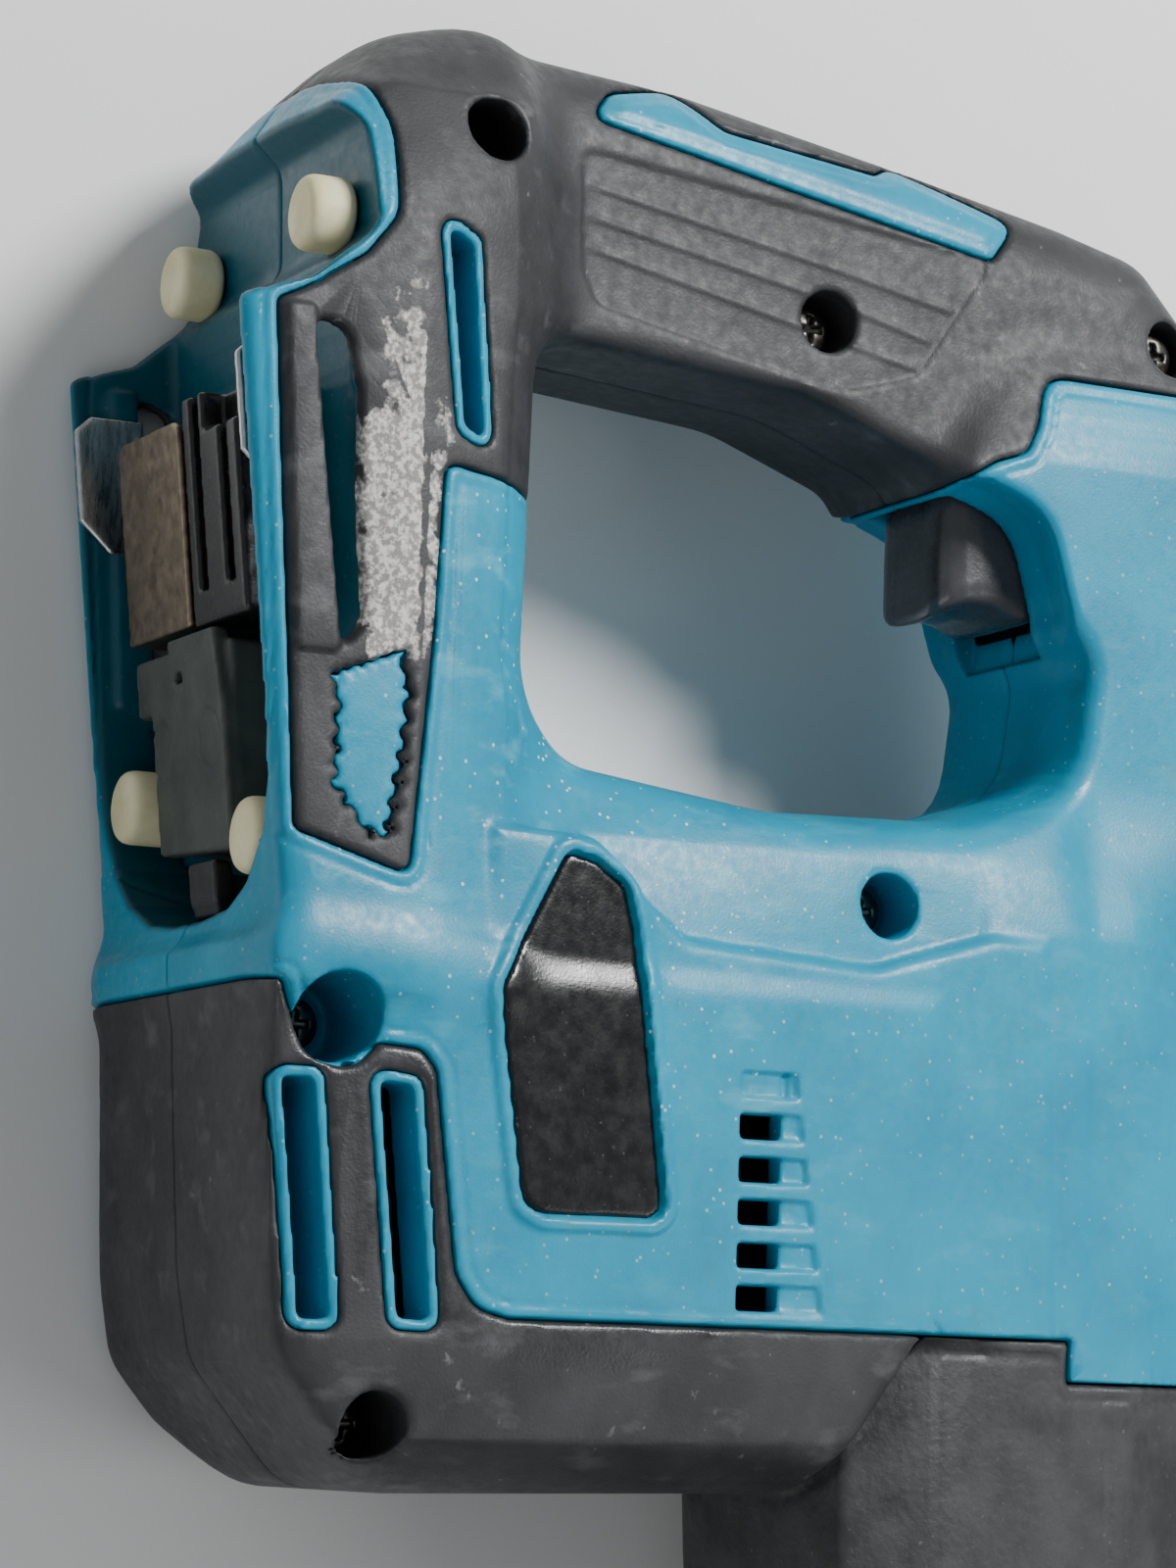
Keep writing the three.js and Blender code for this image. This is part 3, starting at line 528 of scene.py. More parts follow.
class Finish:
    """A material's node tree, with short names for the nodes that the finishes use."""

    def __init__(self, name, roughness=0.5, metallic=0.0, coat=0.0, specular=0.5):
        self.material = bpy.data.materials.new(name)
        self.material.use_nodes = True
        self.tree = self.material.node_tree
        self.shader = self.tree.nodes["Principled BSDF"]
        self.shader.inputs["Roughness"].default_value = roughness
        self.shader.inputs["Metallic"].default_value = metallic
        self.shader.inputs["Coat Weight"].default_value = coat
        self.shader.inputs["Specular IOR Level"].default_value = specular
        place = self.tree.nodes.new("ShaderNodeTexCoord").outputs["Object"]
        ins = {"Vector": place, "Scale": 1000.0}
        self.place = self.make("ShaderNodeVectorMath", "Vector", ins, operation="SCALE")

    def make(self, kind, out, ins=(), **settings):
        """A node's output socket. Its inputs are sockets to link or plain values."""
        node = self.tree.nodes.new(kind)
        for name, value in settings.items():
            setattr(node, name, value)
        for name, value in dict(ins).items():
            if isinstance(value, bpy.types.NodeSocket):
                self.tree.links.new(value, node.inputs[name])
            else:
                node.inputs[name].default_value = value
        return node.outputs[out]

    def noise(self, size, detail=3.0, stretch=None, roughness=0.55):
        """Cloudy variation from 0 to 1, with features of about the given size in millimetres."""
        place = self.place
        if stretch:
            ins = {0: place, 1: stretch}
            place = self.make("ShaderNodeVectorMath", "Vector", ins, operation="MULTIPLY")
        ins = {"Vector": place, "Scale": 1 / size, "Detail": detail, "Roughness": roughness}
        return self.make("ShaderNodeTexNoise", "Fac", ins)

    def cells(self, size):
        """Distance from the middle of the nearest of many scattered cells of about the given size."""
        return self.make("ShaderNodeTexVoronoi", "Distance", {"Vector": self.place, "Scale": 1 / size})

    def sums(self, operation, a, b):
        return self.make("ShaderNodeMath", 0, {0: a, 1: b}, operation=operation)

    def span(self, value, low, high, to_low=0.0, to_high=1.0):
        """The value's share of the way from low to high, kept between the ends."""
        ins = {"Value": value, "From Min": low, "From Max": high, "To Min": to_low, "To Max": to_high}
        return self.make("ShaderNodeMapRange", "Result", ins)

    def painted(self, name):
        return self.make("ShaderNodeAttribute", "Fac", attribute_name=name)

    def mix(self, share, a, b):
        ins = {0: share, 6: a, 7: b}
        return self.make("ShaderNodeMix", 2, ins, data_type="RGBA")

    def finish(self, base, roughness=None, bump=None, depth=0.1, metallic=None):
        links = self.tree.links
        links.new(base, self.shader.inputs["Base Color"])
        if roughness is not None:
            links.new(roughness, self.shader.inputs["Roughness"])
        if metallic is not None:
            links.new(metallic, self.shader.inputs["Metallic"])
        if bump is not None:
            ins = {"Height": bump, "Distance": depth * MM, "Strength": 1.0}
            links.new(self.make("ShaderNodeBump", "Normal", ins), self.shader.inputs["Normal"])
        return self.material


def teal_plastic():
    f = Finish("teal_plastic", specular=0.35)
    cloud = f.noise(22, 4)
    base = f.mix(f.span(cloud, 0.35, 0.65), colour(0, 124, 153), colour(0, 138, 168))
    dirt = f.painted("dirt")
    rub = f.span(f.noise(5, 6, (1, 0.35, 1)), 0.55, 0.75)
    base = f.mix(f.sums("MULTIPLY", f.sums("MULTIPLY", rub, dirt), 0.45), base, colour(120, 190, 205))
    speck = f.span(f.cells(2.1), 0.16, 0.10)
    clean = f.span(f.noise(3.2, 2), 0.62, 0.40)
    specks = f.sums("MULTIPLY", f.sums("MULTIPLY", speck, dirt), f.sums("SUBTRACT", 1.0, clean))
    base = f.mix(specks, base, colour(225, 232, 226))
    grime = f.span(f.noise(9, 5), 0.62, 0.78)
    base = f.mix(f.sums("MULTIPLY", grime, 0.35), base, colour(70, 110, 105))
    # painted shade: inside the battery dock the teal is darkened towards deep teal, standing in for the
    # shade and dark reflections within the channel
    base = f.mix(f.sums("MULTIPLY", f.painted("dock"), 0.8), base, colour(0, 52, 58))
    rough = f.span(f.noise(1.8, 4), 0.3, 0.7, 0.30, 0.46)
    rough = f.sums("ADD", rough, f.sums("MULTIPLY", specks, 0.3))
    bump = f.sums("ADD", f.noise(0.5, 2), f.sums("MULTIPLY", specks, 2.0))
    return f.finish(base, rough, bump, 0.03)


def elastomer():
    f = Finish("elastomer", specular=0.4)
    base = f.mix(f.span(f.noise(14, 4), 0.35, 0.68), colour(38, 39, 40), colour(54, 54, 56))
    edge = f.sums("ADD", f.painted("worn"), f.span(f.noise(3.5, 6), 0.3, 0.7, -0.45, 0.45))
    worn = f.span(edge, 0.42, 0.62)
    flecks = f.span(f.noise(0.9, 4), 0.45, 0.6)
    pale = f.mix(flecks, colour(120, 118, 114), colour(190, 188, 182))
    base = f.mix(worn, base, pale)
    rubbed = f.sums("MULTIPLY", f.span(f.noise(7, 6, (1, 0.5, 1)), 0.58, 0.74), f.painted("rubbed"))
    base = f.mix(rubbed, base, colour(104, 104, 106))
    rough = f.span(f.noise(2.2, 4), 0.3, 0.7, 0.46, 0.62)
    gloss = f.painted("gloss")
    rough = f.sums("SUBTRACT", rough, f.sums("MULTIPLY", gloss, 0.22))
    bump = f.sums("ADD", f.noise(0.55, 3), f.sums("MULTIPLY", worn, f.noise(1.2, 4)))
    return f.finish(base, rough, bump, 0.06)


def plain_plastic(name, dark, light, low, high, grain=0.5, depth=0.03, coat=0.0):
    """Moulded plastic with a slight mottle and a fine grain."""
    f = Finish(name, coat=coat)
    base = f.mix(f.span(f.noise(8, 5), 0.35, 0.65), colour(*dark), colour(*light))
    dust = f.span(f.noise(1.1, 5), 0.66, 0.74)
    base = f.mix(f.sums("MULTIPLY", dust, 0.18), base, colour(150, 150, 145))
    rough = f.span(f.noise(2.5, 4), 0.3, 0.7, low, high)
    return f.finish(base, rough, f.noise(grain, 3), depth)


def metal(name, dark, light, low, high, stretch=(1, 1, 1), depth=0.02, stain=0.3):
    """Metal with a brushed or cast surface and a little staining."""
    f = Finish(name, metallic=1.0)
    base = f.mix(f.span(f.noise(3, 5, stretch), 0.35, 0.65), colour(*dark), colour(*light))
    stains = f.sums("MULTIPLY", f.span(f.noise(6, 6), 0.55, 0.75), stain)
    base = f.mix(stains, base, colour(96, 84, 70))
    rough = f.span(f.noise(1.2, 4, stretch), 0.3, 0.7, low, high)
    return f.finish(base, rough, f.noise(0.8, 4, stretch), depth)


TEAL = teal_plastic()
LABEL_BLACK = plain_plastic("label_black", (14, 14, 15), (20, 20, 21), 0.2, 0.32)
# The trigger is black plastic, given a mid-grey colour as a painted reflection of a bright sky on its gloss.
TRIGGER_PAINTED_SHEEN = plain_plastic("trigger_black_painted_sheen", (56, 56, 58), (70, 70, 71), 0.22, 0.34, coat=0.3)
RUBBER = elastomer()
COVER = plain_plastic("cover_rubber", (34, 34, 36), (52, 52, 54), 0.42, 0.6, 1.4, 0.12)
GLOSS_BLACK = plain_plastic("gloss_black", (20, 20, 21), (30, 30, 31), 0.16, 0.34)
BLACK = plain_plastic("black_plastic", (26, 26, 27), (38, 38, 39), 0.32, 0.5)
GREY = plain_plastic("grey_plastic", (52, 58, 56), (68, 74, 70), 0.45, 0.6)
CREAM = plain_plastic("cream_rubber", (206, 198, 152), (228, 222, 184), 0.5, 0.65)
MAGNET = plain_plastic("magnet", (48, 46, 46), (62, 60, 58), 0.5, 0.7, 0.3, 0.05)
LENS = plain_plastic("lens", (214, 222, 226), (236, 240, 242), 0.06, 0.14)
BRIGHT = metal("bright_steel", (168, 170, 172), (204, 206, 208), 0.2, 0.38, (0.3, 2, 2))
SCREW_STEEL = metal("screw_steel", (70, 68, 66), (128, 126, 122), 0.3, 0.5, stain=0.6)
STAINED = metal("stained_steel", (110, 98, 84), (150, 136, 118), 0.3, 0.5, stain=0.7)
PLATED = metal("plated_steel", (176, 176, 170), (214, 214, 208), 0.22, 0.4)
DARK = metal("dark_steel", (82, 80, 78), (112, 110, 106), 0.35, 0.55)
ALLOY = metal("cast_alloy", (150, 152, 154), (178, 180, 182), 0.42, 0.6, (1, 1, 1), 0.08)
COPPER = metal("copper", (176, 108, 66), (206, 136, 88), 0.28, 0.45)
BRONZE = metal("bronze", (150, 116, 70), (176, 142, 92), 0.35, 0.5)
BLADE = metal("blade_steel", (142, 144, 146), (186, 188, 190), 0.28, 0.46, (0.25, 2.5, 2.5))

# ------------------------------------------------------------------ housing and coverings
LOW, HIGH, STEP = (-4, -150, -1), (232, 46, 42), 0.62 * FINE
x, y, z = grid(LOW, HIGH, STEP)
plain = outside(x, y, z)
battery = dock_space(x, y, z)
soft = np.maximum(soft_area(x, y, z), -(battery - 1.2))


def openings(form):
    """Every way into the housing, apart from the screws' recesses."""
    cuts = block(x, y, z, (40, -13.7, -20), (88, 7.6, 12.3), 1)
    for slot in SLOTS[1:]:
        cuts = join(cuts, np.maximum(area(slot, x, y), 15 - z))
    cuts = join(cuts, np.maximum(area(POCKET, x, y), np.maximum(-9 - form, 15 - z)))
    return join(cuts, np.maximum(vents(x, y, VENT_LOW, VENT_HIGH), 15 - z))


def recesses(form):
    """The screws' recesses, the bosses round them, and the soft linings that some of them have."""
    holes = bosses = linings = 1e3
    for sx, sy, seat, radius, lined in SCREWS.values():
        hole = disc(x, y, (sx, sy), radius)
        holes = np.minimum(holes, meet(hole, seat - z, 1))
        bosses = np.minimum(bosses, np.maximum(hole - 2, np.maximum(seat - 3 - z, form + SKIN)))
        if lined:
            linings = np.minimum(linings, np.maximum(hole - 1.2, np.maximum(seat - 1.2 - z, form)))
    return holes, bosses, linings


def hard_housing(form, cuts, holes, bosses, linings):
    hard = np.minimum(meet(form, 0.15 - soft, 0.9), form + SKIN + 0.1)
    hard = np.maximum(hard, -(form + WALL))
    for slot in SLOTS:
        collar = np.maximum(np.maximum(area(slot, x, y) - RIM, form), -(form + 10))
        hard = np.minimum(hard, np.maximum(collar, 12 - z))
    hard = cut(np.minimum(hard, bosses), np.minimum(holes, linings - 0.1), 0.6)
    hard = np.maximum(cut(hard, cuts, 0.6), 0.15 - area(NOSE, x, y))
    return meet(hard, SEAM - z, 0.6)


def covering(region, form, cuts, holes, linings):
    here = area(region, x, y)
    skin = meet(form, np.maximum(soft, here) + 0.1, 0.9)
    skin = np.maximum(skin, -(form + SKIN))
    skin = np.minimum(skin, np.maximum(linings, here + 1))
    skin = cut(cut(skin, holes, 0.8), cuts, 0.6)
    return meet(skin, SEAM - z, 0.6)


def near(region, softness):
    """1 inside an area of the right side's view and 0 outside, with a soft edge."""
    return lambda x, y, z: ramp(area(region, x, y), softness) * (z > 0)


SPECKLED = [[70, -120], [150, -112], [165, -60], [130, -50], [95, -92], [74, -96]]
WORN_PATCH = [[68, -128.4], [61.5, -114.6], [94, -114.6], [103, -117.5], [104.4, -126.6], [82, -128.4]]
RUB_ZONE = [[2, -104], [20, -100], [16, -84], [-2, -82]]
GLOSSY_FILM = [
    [150, -140], [199.8, -117.2], [205, -103.9], [208, -84.6], [207, -76.5], [200, -60], [150, -60],
]
for right in (True, False):
    end = "right" if right else "left"
    form = plain - relief(x, y, right) * np.clip((z - 7) / 4, 0, 1)
    cuts = openings(form)
    holes, bosses, linings = recesses(form) if right else (1e3, 1e3, 1e3)
    shell = hard_housing(form, cuts, holes, bosses, linings)
    shell = shaped(f"shell_{end}", shell, LOW, STEP, 0.25, not right)
    paint(
        shell,
        dirt=lambda x, y, z: 0.25 + 0.75 * ramp(area(SPECKLED, x, y), 40) * (z > 0),
        # dock: painted shade, 1 inside the battery dock's channel, where the teal darkens
        dock=lambda x, y, z: ramp(dock_space(x, y, np.abs(z)) - 0.6, 0.8),
    )
    piece(shell.name, shell, "housing", "housing_plastic", TEAL, f"housing_{end}")
    for name, region, node in (("grip_cover", GRIP, "grip"), ("bumper_cover", BUMPER, "bumper")):
        skin = covering(region, form, cuts, holes, linings)
        skin = shaped(f"{name}_{end}", skin, LOW, STEP, 0.3, not right)
        paint(
            skin,
            worn=near(WORN_PATCH, 6),
            rubbed=lambda x, y, z: 0.35 + 0.65 * ramp(area(RUB_ZONE, x, y), 12),
            gloss=near(GLOSSY_FILM, 1),
        )
        piece(skin.name, skin, "housing", "soft_covering", RUBBER, f"{node}_{end}")
del plain, battery, soft, form, cuts, holes, bosses, linings


def label_plate(x, y, z):
    form = outside(x, y, z)
    return meet(np.maximum(area(LABEL, x, y) + 0.2, -(form + 2)), form + 0.4, 0.5)


moulded("label_plate", label_plate, (126, -106, 20), (188, -70, 42), 0.5, "housing", "label_plate",
        LABEL_BLACK, "label", share=0.3)

# ------------------------------------------------------------------ front cover and what it holds
MOUTH = [[-19, -19, 8], [19, -19, 8], [19, 19, 8], [-19, 19, 8]]
WELL_SIDE = [[180, -38], [219, -38], [240, -32.9], [262, -27.6], [262, 10], [180, 10]]


def crank_well(x, y, z, form):
    """The room for the crank, which stays inside the covers."""
    return np.maximum(np.maximum(area(WELL_SIDE, x, y), disc(x, z, (212, 0), 28.5)), form + 2)


def nose_cover(x, y, z):
    w = np.abs(z)
    face = area(NOSE, x, y)
    lines = band(face, -2.6, 0.8) + band(distance_to([[216.9, 9.7], [235.4, 10], [268, 8]], x, y), 0, 1.2)
    form = outside(x, y, z) + 0.35 * np.clip(lines, 0, 1) * np.clip((w - 7) / 4, 0, 1)
    cover = meet(form, face + 0.15, 0.8)
    wall = np.minimum(-(form + 3), 346.6 - x)
    cover = np.maximum(cover, wall)
    cover = cut(cover, crank_well(x, y, z, form), 0.6)
    mouth = np.maximum(area(MOUTH, y, z), 346.3 - x)
    cover = cut(cover, mouth, 1.6)
    cover = cut(cover, block(x, y, z, (290, -24.3, -9.3), (420, -20.7, 9.3), 0.5), 0.5)
    cover = cut(cover, block(x, y, z, (365.7, -31.8, -5.3), (400, -26.7, 5.3), 0.5), 0.5)
    button = np.maximum(disc(x, z, (318, 0), 7.3), y + 26)
    return cut(cover, button, 0.6)


moulded("nose_cover", nose_cover, (197, -46, -35), (374, 46, 35), 0.8, "housing", "soft_covering",
        COVER, "front_cover", share=0.3)
GUIDE_BLOCK = [(300, -16, -16), (346, 16, 16)], [(300, -27.5, -13), (346, -15, 13)]


def gear_case(x, y, z):
    form = outside(x, y, z)
    wall = np.maximum(np.maximum(form + 3.5, -(form + 6.2)), area(NOSE, x, y) + 0.6)
    well = crank_well(x, y, z, form) + 0.4
    case = np.minimum(cut(wall, well, 0.4), np.maximum(well, np.maximum(-(well + 2.2), y + 20)))
    for low, high in GUIDE_BLOCK:
        case = join(case, block(x, y, z, low, high, 1), 1)
    case = meet(case, np.maximum(190 - x, x - 346), 0.5)
    case = cut(case, np.maximum(disc(y, z, (0, 0), 12.2), 290 - x), 0.4)
    case = cut(case, np.maximum(disc(x, z, (185, 0), 8), y), 0.4)
    case = cut(case, np.maximum(disc(x, z, (212, 0), 8.3), y), 0.4)
    case = cut(case, block(x, y, z, (294, -24.3, -9.3), (420, -20.7, 9.3)), 0.4)
    return cut(case, np.maximum(disc(x, z, (318, 0), 7.4), y + 20), 0.4)


moulded("gear_case", gear_case, (188, -44, -36), (348, 44, 36), 0.9, "housing", "cast_aluminium",
        ALLOY, "gear_housing", share=0.3)
moulded(
    "lamp_lens",
    lambda x, y, z: meet(block(x, y, z, (366, -31.5, -5), (371.7, -27, 5), 0.8),
                         disc(x, y, (364.5, -29.2), 7), 0.5),
    (365, -33, -6), (373, -26, 6), 0.4, "housing", "lamp_lens", LENS, "lamp",
)

# ------------------------------------------------------------------ screws, dock and trigger
for name, (sx, sy, seat, *_) in SCREWS.items():

    def screw(x, y, z):
        r = np.hypot(x - sx, y - sy)
        dome = np.sqrt(r * r + (z - seat - 0.3 + 5) ** 2) - 8
        head = meet(np.maximum(r - 4, dome), seat + 0.3 - z, 0.5)
        arms = np.minimum(block(x - sx, y - sy, 0, (-2.3, -0.5, -1), (2.3, 0.5, 1)),
                          block(x - sx, y - sy, 0, (-0.5, -2.3, -1), (0.5, 2.3, 1)))
        head = cut(head, np.maximum(arms, seat + 1.2 + 0.4 * r - z), 0.2)
        thread = 0.22 * np.abs(((z * 0.9 + np.arctan2(y - sy, x - sx) / 2 / pi) % 1) - 0.5)
        shank = np.maximum(np.maximum(r - 1.8 - thread, -15 - z), z - seat - 1)
        return np.minimum(head, shank)

    moulded(f"pan_screw_{name}", screw, (sx - 5, sy - 5, -16), (sx + 5, sy + 5, seat + 5), 0.36, "housing",
            "plated_steel", SCREW_STEEL, f"screw_{name}", share=0.5)


def docked(place, into):
    """The height of a point so far in from the dock's sloping face."""
    return DOCK_Y + into + (place - DOCK_X) * DOCK_SLOPE


def dock_block(x, y, z, x0, x1, low, high, z0, z1, k=0.6):
    """A block that stands square to the dock's face, between two distances in from it."""
    return block(x, y - docked(x, 0), z, (x0, low, z0), (x1, high, z1), k)


for i in range(4):
    low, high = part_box(f"dock_damper_{i + 1}")
    (x0, y0, z0), (x1, y1, z1) = [(np.array(corner) - ORIGIN) / MM for corner in (low, high)]
    moulded(
        f"damper_peg_{i + 1}",
        lambda x, y, z: meet(disc(x, z, ((x0 + x1) / 2, (z0 + z1) / 2), (x1 - x0) / 2 - 0.1),
                             np.maximum(y0 - y, y - y1), 2.2),
        (x0 - 1, y0 - 1, z0 - 1), (x1 + 1, y1 + 1, z1 + 1), 0.5, "housing", "damper_rubber",
        CREAM, f"dock_damper_{i + 1}", share=0.5,
    )
for end, side in (("right", 1), ("left", -1)):

    def guard(x, y, z):
        z = z * side
        into = y - docked(x, 0)
        face = area([[57, 2], [59.5, -0.8], [74, -0.8], [79, 4, 1], [79, 11], [57, 11]], x, into)
        wall = meet(face, np.abs(z - 34.6) - 0.6, 0.3)
        lip = dock_block(x, y, z, 60, 77, 9.8, 11, 28, 35.1, 0.3)
        return np.minimum(wall, lip)

    moulded(f"rail_plate_{end}", guard, (56, -148, min(side * 27, side * 36)),
            (80, -128, max(side * 27, side * 36)), 0.36, "housing", "bright_steel", BRIGHT,
            f"rail_guard_{end}", share=0.3)


def cover_plate(x, y, z):
    plan = area([[63, -27, 3], [95, -27, 1], [95, -1, 1], [63, -1, 3]], x, z)
    flat = np.maximum(plan, dock_block(x, y, z, 0, 200, 3.5, 4.7, -60, 60, 0.3))
    fold = dock_block(x, y, z, 93.8, 95, 3.5, 17.5, -27, -1, 0.3)
    return join(flat, fold, 0.4)


moulded("terminal_plate", cover_plate, (62, -143, -28), (96, -122, 0), 0.4, "housing", "dark_steel",
        STAINED, "terminal_cover_plate", share=0.3)


def terminals(x, y, z):
    body = dock_block(x, y, z, 60, 95.5, 4, 17.5, -0.6, 21, 0.8)
    step = dock_block(x, y, z, 58, 66, 3, 8, 8, 24, 0.4)
    body = cut(body, step, 0.4)
    for middle in (4.5, 15.5):
        body = cut(body, dock_block(x, y, z, 50, 90, -4, 11, middle - 1.6, middle + 1.6, 0.3), 0.5)
    return body


moulded("terminal_body", terminals, (59, -143, -2), (97, -122, 23), 0.5, "housing", "black_plastic",
        GLOSS_BLACK, "terminal_block", share=0.3)
for name, middle in (("positive", 15.5), ("negative", 4.5)):

    def contact(x, y, z):
        blade = dock_block(x, y, z, 62, 88, 6, 10.7, middle - 0.45, middle + 0.45, 0.2)
        return cut(blade, dock_block(x, y, z, 60, 72, 3, 7.4, middle - 3, middle + 3), 0.2)

    moulded(f"contact_{name}_blade", contact, (61, -141, middle - 1), (89, -130, middle + 1), 0.3, "housing",
            "contact_copper", COPPER, f"contact_{name}", share=0.3)


def dock_lid(x, y, z):
    plan = [[96.2, -10, 1], [96.2, 9, 1], [108, 11, 1], [130.5, 11, 1], [129, -18.5, 1], [107, -18.5, 1],
            [107, -24, 1], [98, -24, 1], [98, -10]]
    top = meet(area(plan, x, z), dock_block(x, y, z, 90, 140, 3, 6, -30, 30), 0.6)
    plug = dock_block(x, y, z, 98, 129, 5, 17.5, -15, 11, 0.8)
    lid = join(top, plug, 0.5)
    lid = cut(lid, dock_block(x, y, z, 101.5, 103.1, -4, 9, -8, -4.6), 0.2)
    for middle in (-15, 5):
        ring = np.abs(disc(x, z, (113, middle), 4.4)) - 0.3
        lid = cut(lid, np.maximum(ring, dock_block(x, y, z, 90, 140, 1, 3.4, -20, 20)), 0.2)
    return lid


moulded("dock_lid", dock_lid, (95, -140, -26), (132, -119, 16), 0.5, "housing", "grey_plastic", GREY,
        "dock_cover", share=0.3)


def hook(x, y, z):
    stem = dock_block(x, y, z, 131.6, 137.5, 3, 17.5, -6, 4, 0.8)
    lip = dock_block(x, y, z, 131.6, 140, 3, 5.4, -6, 4, 1)
    return cut(join(stem, lip, 1.5), dock_block(x, y, z, 128, 133.4, 6, 14, -8, 6), 0.5)


moulded("latch_hook", hook, (130.5, -137, -7), (141, -117, 5), 0.4, "housing", "black_plastic",
        BLACK, "latch_catch", share=0.4)

TRIGGER = [
    [48.2, -9.4], [63, -12.4, 2], [72, -13.4, 6], [83.5, -13.2, 2], [84, 0, 5], [81.5, 7.2, 5],
    [70, 7.4], [48.2, 6],
]
TRIGGER_SECTION = [[-13.3, -12, 8], [7.4, -12, 4], [7.4, 12, 4], [-13.3, 12, 8]]


def trigger(x, y, z):
    body = meet(area(TRIGGER, x, y), area(TRIGGER_SECTION, y, z), 2)
    return cut(body, disc(x, y, (91.5, -5.6), 10 + 0.012 * z * z), 3)


moulded("trigger_lever", trigger, (45, -15, -13), (86, 9, 13), 0.55, "trigger", "black_plastic",
        TRIGGER_PAINTED_SHEEN, "trigger", share=0.4)

# ------------------------------------------------------------------ clamp, blade and shoe


def clamp(x, y, z):
    r = np.hypot(y, z)
    body = meet(r - 10, np.maximum(358 - x, x - 375), 0.8)
    return cut(body, block(x, y, z, (360.7, -12, -0.9), (400, 9, 0.9)), 0.3)


moulded("clamp_core", clamp, (357, -11, -11), (376, 11, 11), 0.5, "slider", "bright_steel", BRIGHT,
        "clamp_body", share=0.4)


def sleeve(x, y, z):
    r, turn = np.hypot(y, z), np.arctan2(z, y)
    knurl = 0.55 * np.clip(np.cos(turn * 12) - 0.1, 0, 1) * np.clip(374 - x - 3, 0, 1)
    outer = meet(r - 14.5 + knurl, np.maximum(360 - x, x - 374), 0.9)
    return cut(outer, r - 10.3, 0.4)


moulded("clamp_ring", sleeve, (359, -15.5, -15.5), (375, 15.5, 15.5), 0.5, "clamp_sleeve", "dark_steel",
        DARK, "clamp_sleeve", share=0.4)

BLADE_LOW, BLADE_TOP = -11, 8
TOOTH_PITCH, TOOTH_DEPTH, TEETH_FROM, TEETH_TO = 4.2, 2.0, 392, 500


def blade(x, y, z):
    along = (x - TEETH_FROM) % TOOTH_PITCH / TOOTH_PITCH
    notch = TOOTH_DEPTH * np.where(along < 0.78, 1 - along / 0.78, (along - 0.78) / 0.22)
    toothed = (x > TEETH_FROM) & (x < TEETH_TO)
    edge = BLADE_LOW + np.where(toothed, notch, TOOTH_DEPTH)
    outer = area([[361, -5], [374, -5], [386, -9, 4], [392, -13], [506, -13], [512, -2, 2],
                  [506, BLADE_TOP, 4], [386, BLADE_TOP, 6], [374, 6], [361, 6]], x, y)
    flat = np.maximum(outer, (edge - y) * 0.8)
    side = np.where((x - TEETH_FROM) // TOOTH_PITCH % 2 == 0, 1, -1)
    set_over = 0.22 * side * np.clip((-8.6 - y) / 2, 0, 1)
    return cut(meet(flat, np.abs(z - set_over) - 0.58, 0.2), disc(x, y, (370, 0.5), 1.8), 0.1)


moulded("saw_blade", blade, (360, -12, -1.2), (513, 9, 1.2), 0.3, "slider", "blade_steel", BLADE,
        "blade", share=0.25)

HINGE, POST_LOW, POST_HIGH, POST_HALF = (389, -22.5), -24, -21, 9


def shoe_bar(x, y, z):
    plate = block(x, y, z, (296, POST_LOW, -POST_HALF), (389, POST_HIGH, POST_HALF), 0.5)
    knuckle = meet(disc(x, y, HINGE, 5.5), np.abs(z) - POST_HALF, 0.6)
    bar = join(plate, knuckle, 1.5)
    for start in (306, 330):
        slot = meet(np.abs(x - start - 8) - 8, np.abs(z) - 2.5, 1.5)
        bar = cut(bar, slot, 0.3)
    return cut(bar, disc(x, y, HINGE, 3.2), 0.3)


moulded("shoe_bar", shoe_bar, (295, -29, -10), (396, -16, 10), 0.6, "shoe_post", "bright_steel", PLATED,
        "shoe_post", share=0.3)
moulded("hinge_pin", lambda x, y, z: meet(disc(x, y, HINGE, 3), np.abs(z) - 13, 0.8), (385, -27, -14),
        (393, -18, 14), 0.45, "shoe_post", "dark_steel", DARK, "shoe_pin", share=0.4)
FACE = [[-34, -20, 6], [30, -20, 6], [30, 20, 6], [-34, 20, 6]]
BLADE_WINDOW = [[-20, -5, 3], [22, -5, 3], [22, 5, 3], [-20, 5, 3]]
EAR = [[406, -32], [406, -13], [388, -16, 4], [382, -24, 4], [390, -30, 4]]


def shoe(x, y, z):
    w = np.abs(z)
    plate = meet(area(FACE, y, z), np.abs(x - 405.75) - 1.25, 0.7)
    rim = meet(np.abs(area(FACE, y, z) + 1.2) - 1.2, np.abs(x - 404) - 3, 0.7)
    ears = meet(area(EAR, x, y), np.abs(w - 10.75) - 1.25, 0.6)
    body = join(join(plate, rim, 1), ears, 1.5)
    body = cut(body, area(BLADE_WINDOW, y, z), 0.6)
    grooves = meet(np.abs((y + 2) % 8 - 4) - 0.5, np.maximum(406.5 - x, w - 16), 0.3)
    body = cut(body, np.maximum(grooves, 7 - w), 0.3)
    return cut(body, disc(x, y, HINGE, 3.2), 0.3)


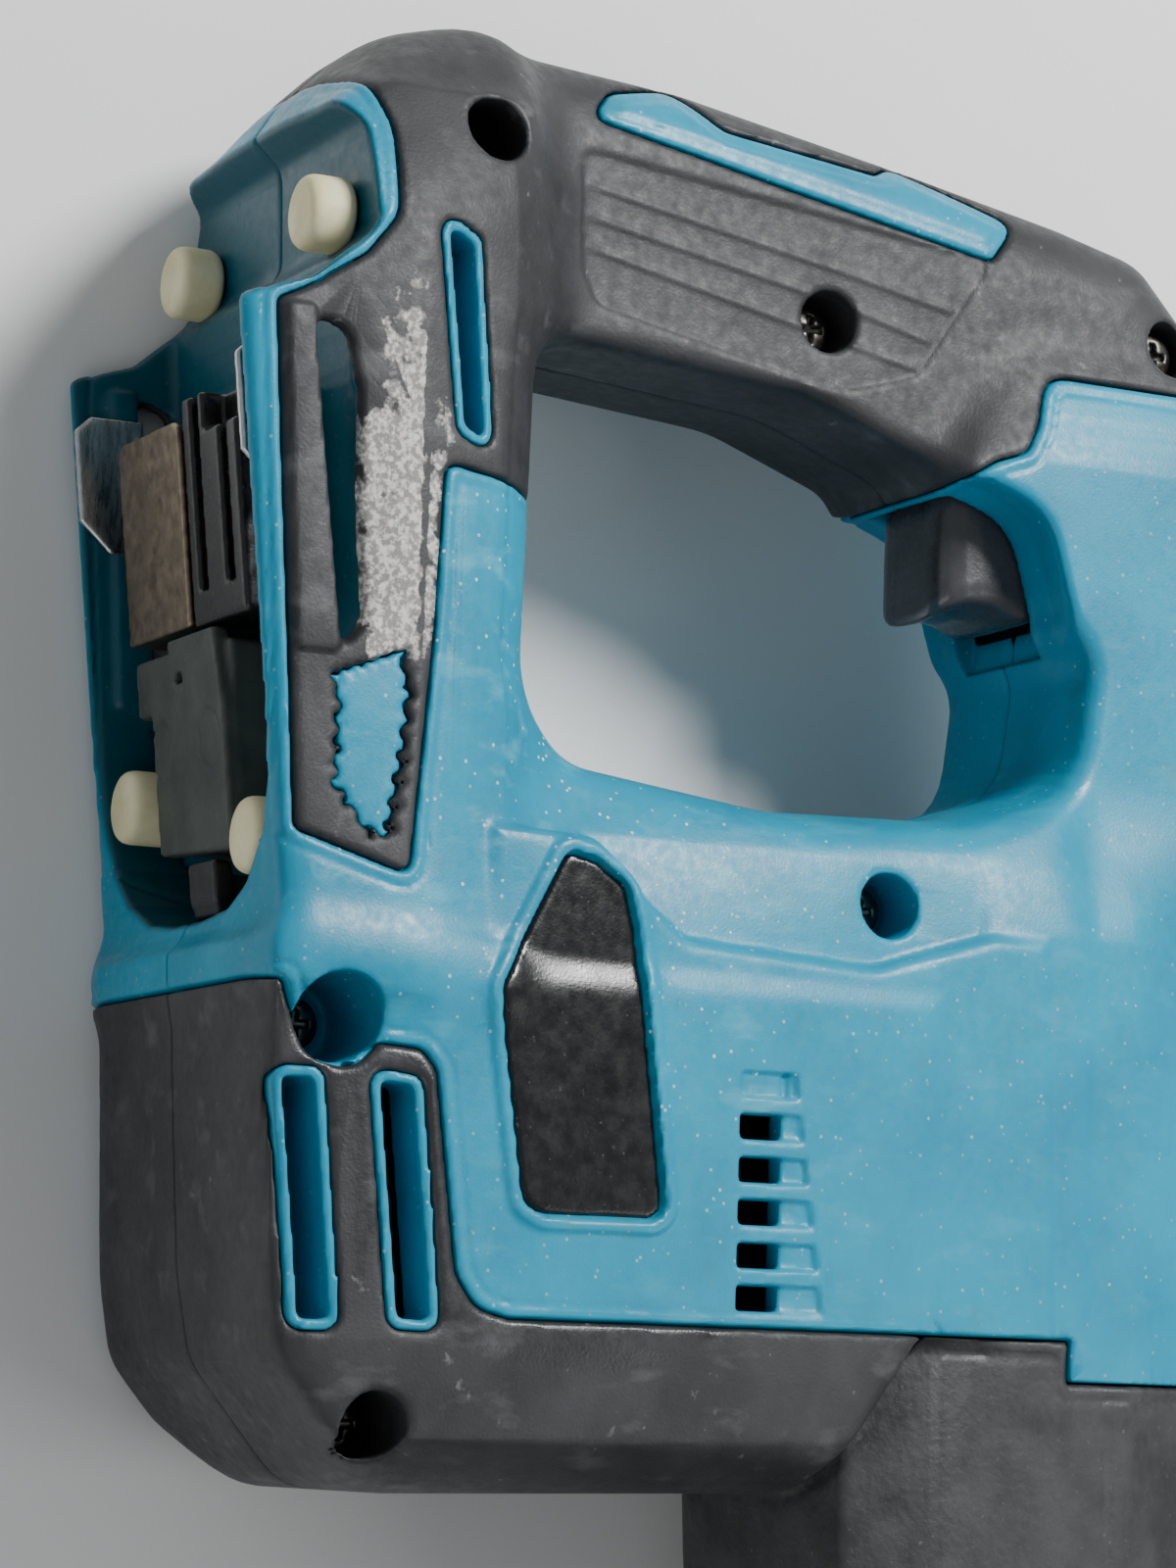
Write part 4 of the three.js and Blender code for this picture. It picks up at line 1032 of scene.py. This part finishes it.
moulded("shoe_plate", shoe, (380, -35, -21), (408, 31, 21), 0.6, "shoe", "bright_steel", PLATED, "shoe",
        share=0.3)
moulded(
    "adjuster_button",
    lambda x, y, z: cut(meet(disc(x, z, (318, 0), 7), np.maximum(-34.5 - y, y + 29), 1),
                        disc(x, z, (318, 0), 4.5) + (y + 34) * 2, 0.8),
    (310, -36, -8), (326, -28, 8), 0.45, "shoe_button", "black_plastic", BLACK, "shoe_button", share=0.4,
)

# ------------------------------------------------------------------ finishes of the inner parts
INNER = {
    "plated_steel": PLATED, "bright_steel": BRIGHT, "dark_steel": DARK, "black_plastic": BLACK,
    "magnet": MAGNET, "grey_plastic": GREY, "contact_copper": COPPER, "bush_bronze": BRONZE,
    "cast_aluminium": ALLOY, "seal_rubber": COVER,
}
for entry in frame["record"]["subparts"]:
    thing = frame["nodes"][entry["node"]]
    if not thing.hide_render:
        thing.data.materials.clear()
        thing.data.materials.append(INNER[entry["material_slot"]])

# ------------------------------------------------------------------ floor and light
floor_mesh = bpy.data.meshes.new("floor")
floor_mesh.from_pydata([(-4, -4, 0), (4, -4, 0), (4, 4, 0), (-4, 4, 0)], [], [(0, 1, 2, 3)])
floor = bpy.data.objects.new("floor", floor_mesh)
bpy.context.scene.collection.objects.link(floor)
paper = Finish("paper", roughness=0.8)
paper_base = paper.mix(paper.noise(60, 3), colour(224, 224, 222), colour(230, 230, 228))
floor_mesh.materials.append(paper.finish(paper_base))


def lamp(name, place, target, size, power, tint=(1, 1, 1)):
    light = bpy.data.lights.new(name, "AREA")
    light.shape, light.size, light.energy, light.color = "DISK", size, power, tint
    thing = bpy.data.objects.new(name, light)
    thing.location = place
    thing.rotation_euler = (Vector(target) - Vector(place)).to_track_quat("-Z", "Y").to_euler()
    bpy.context.scene.collection.objects.link(thing)


lamp("key", (-0.75, 0.45, 1.0), (-0.1, 0, 0.03), 0.35, 23)
lamp("fill", (0.5, -0.9, 0.8), (-0.1, 0, 0.03), 0.9, 2.6)
lamp("back", (0.3, 0.9, 0.9), (-0.1, 0, 0.03), 0.7, 4)
world = bpy.context.scene.world or bpy.data.worlds.new("world")
bpy.context.scene.world = world
world.use_nodes = True
world.node_tree.nodes["Background"].inputs["Color"].default_value = (0.9, 0.95, 1.0, 1.0)
world.node_tree.nodes["Background"].inputs["Strength"].default_value = 0.34
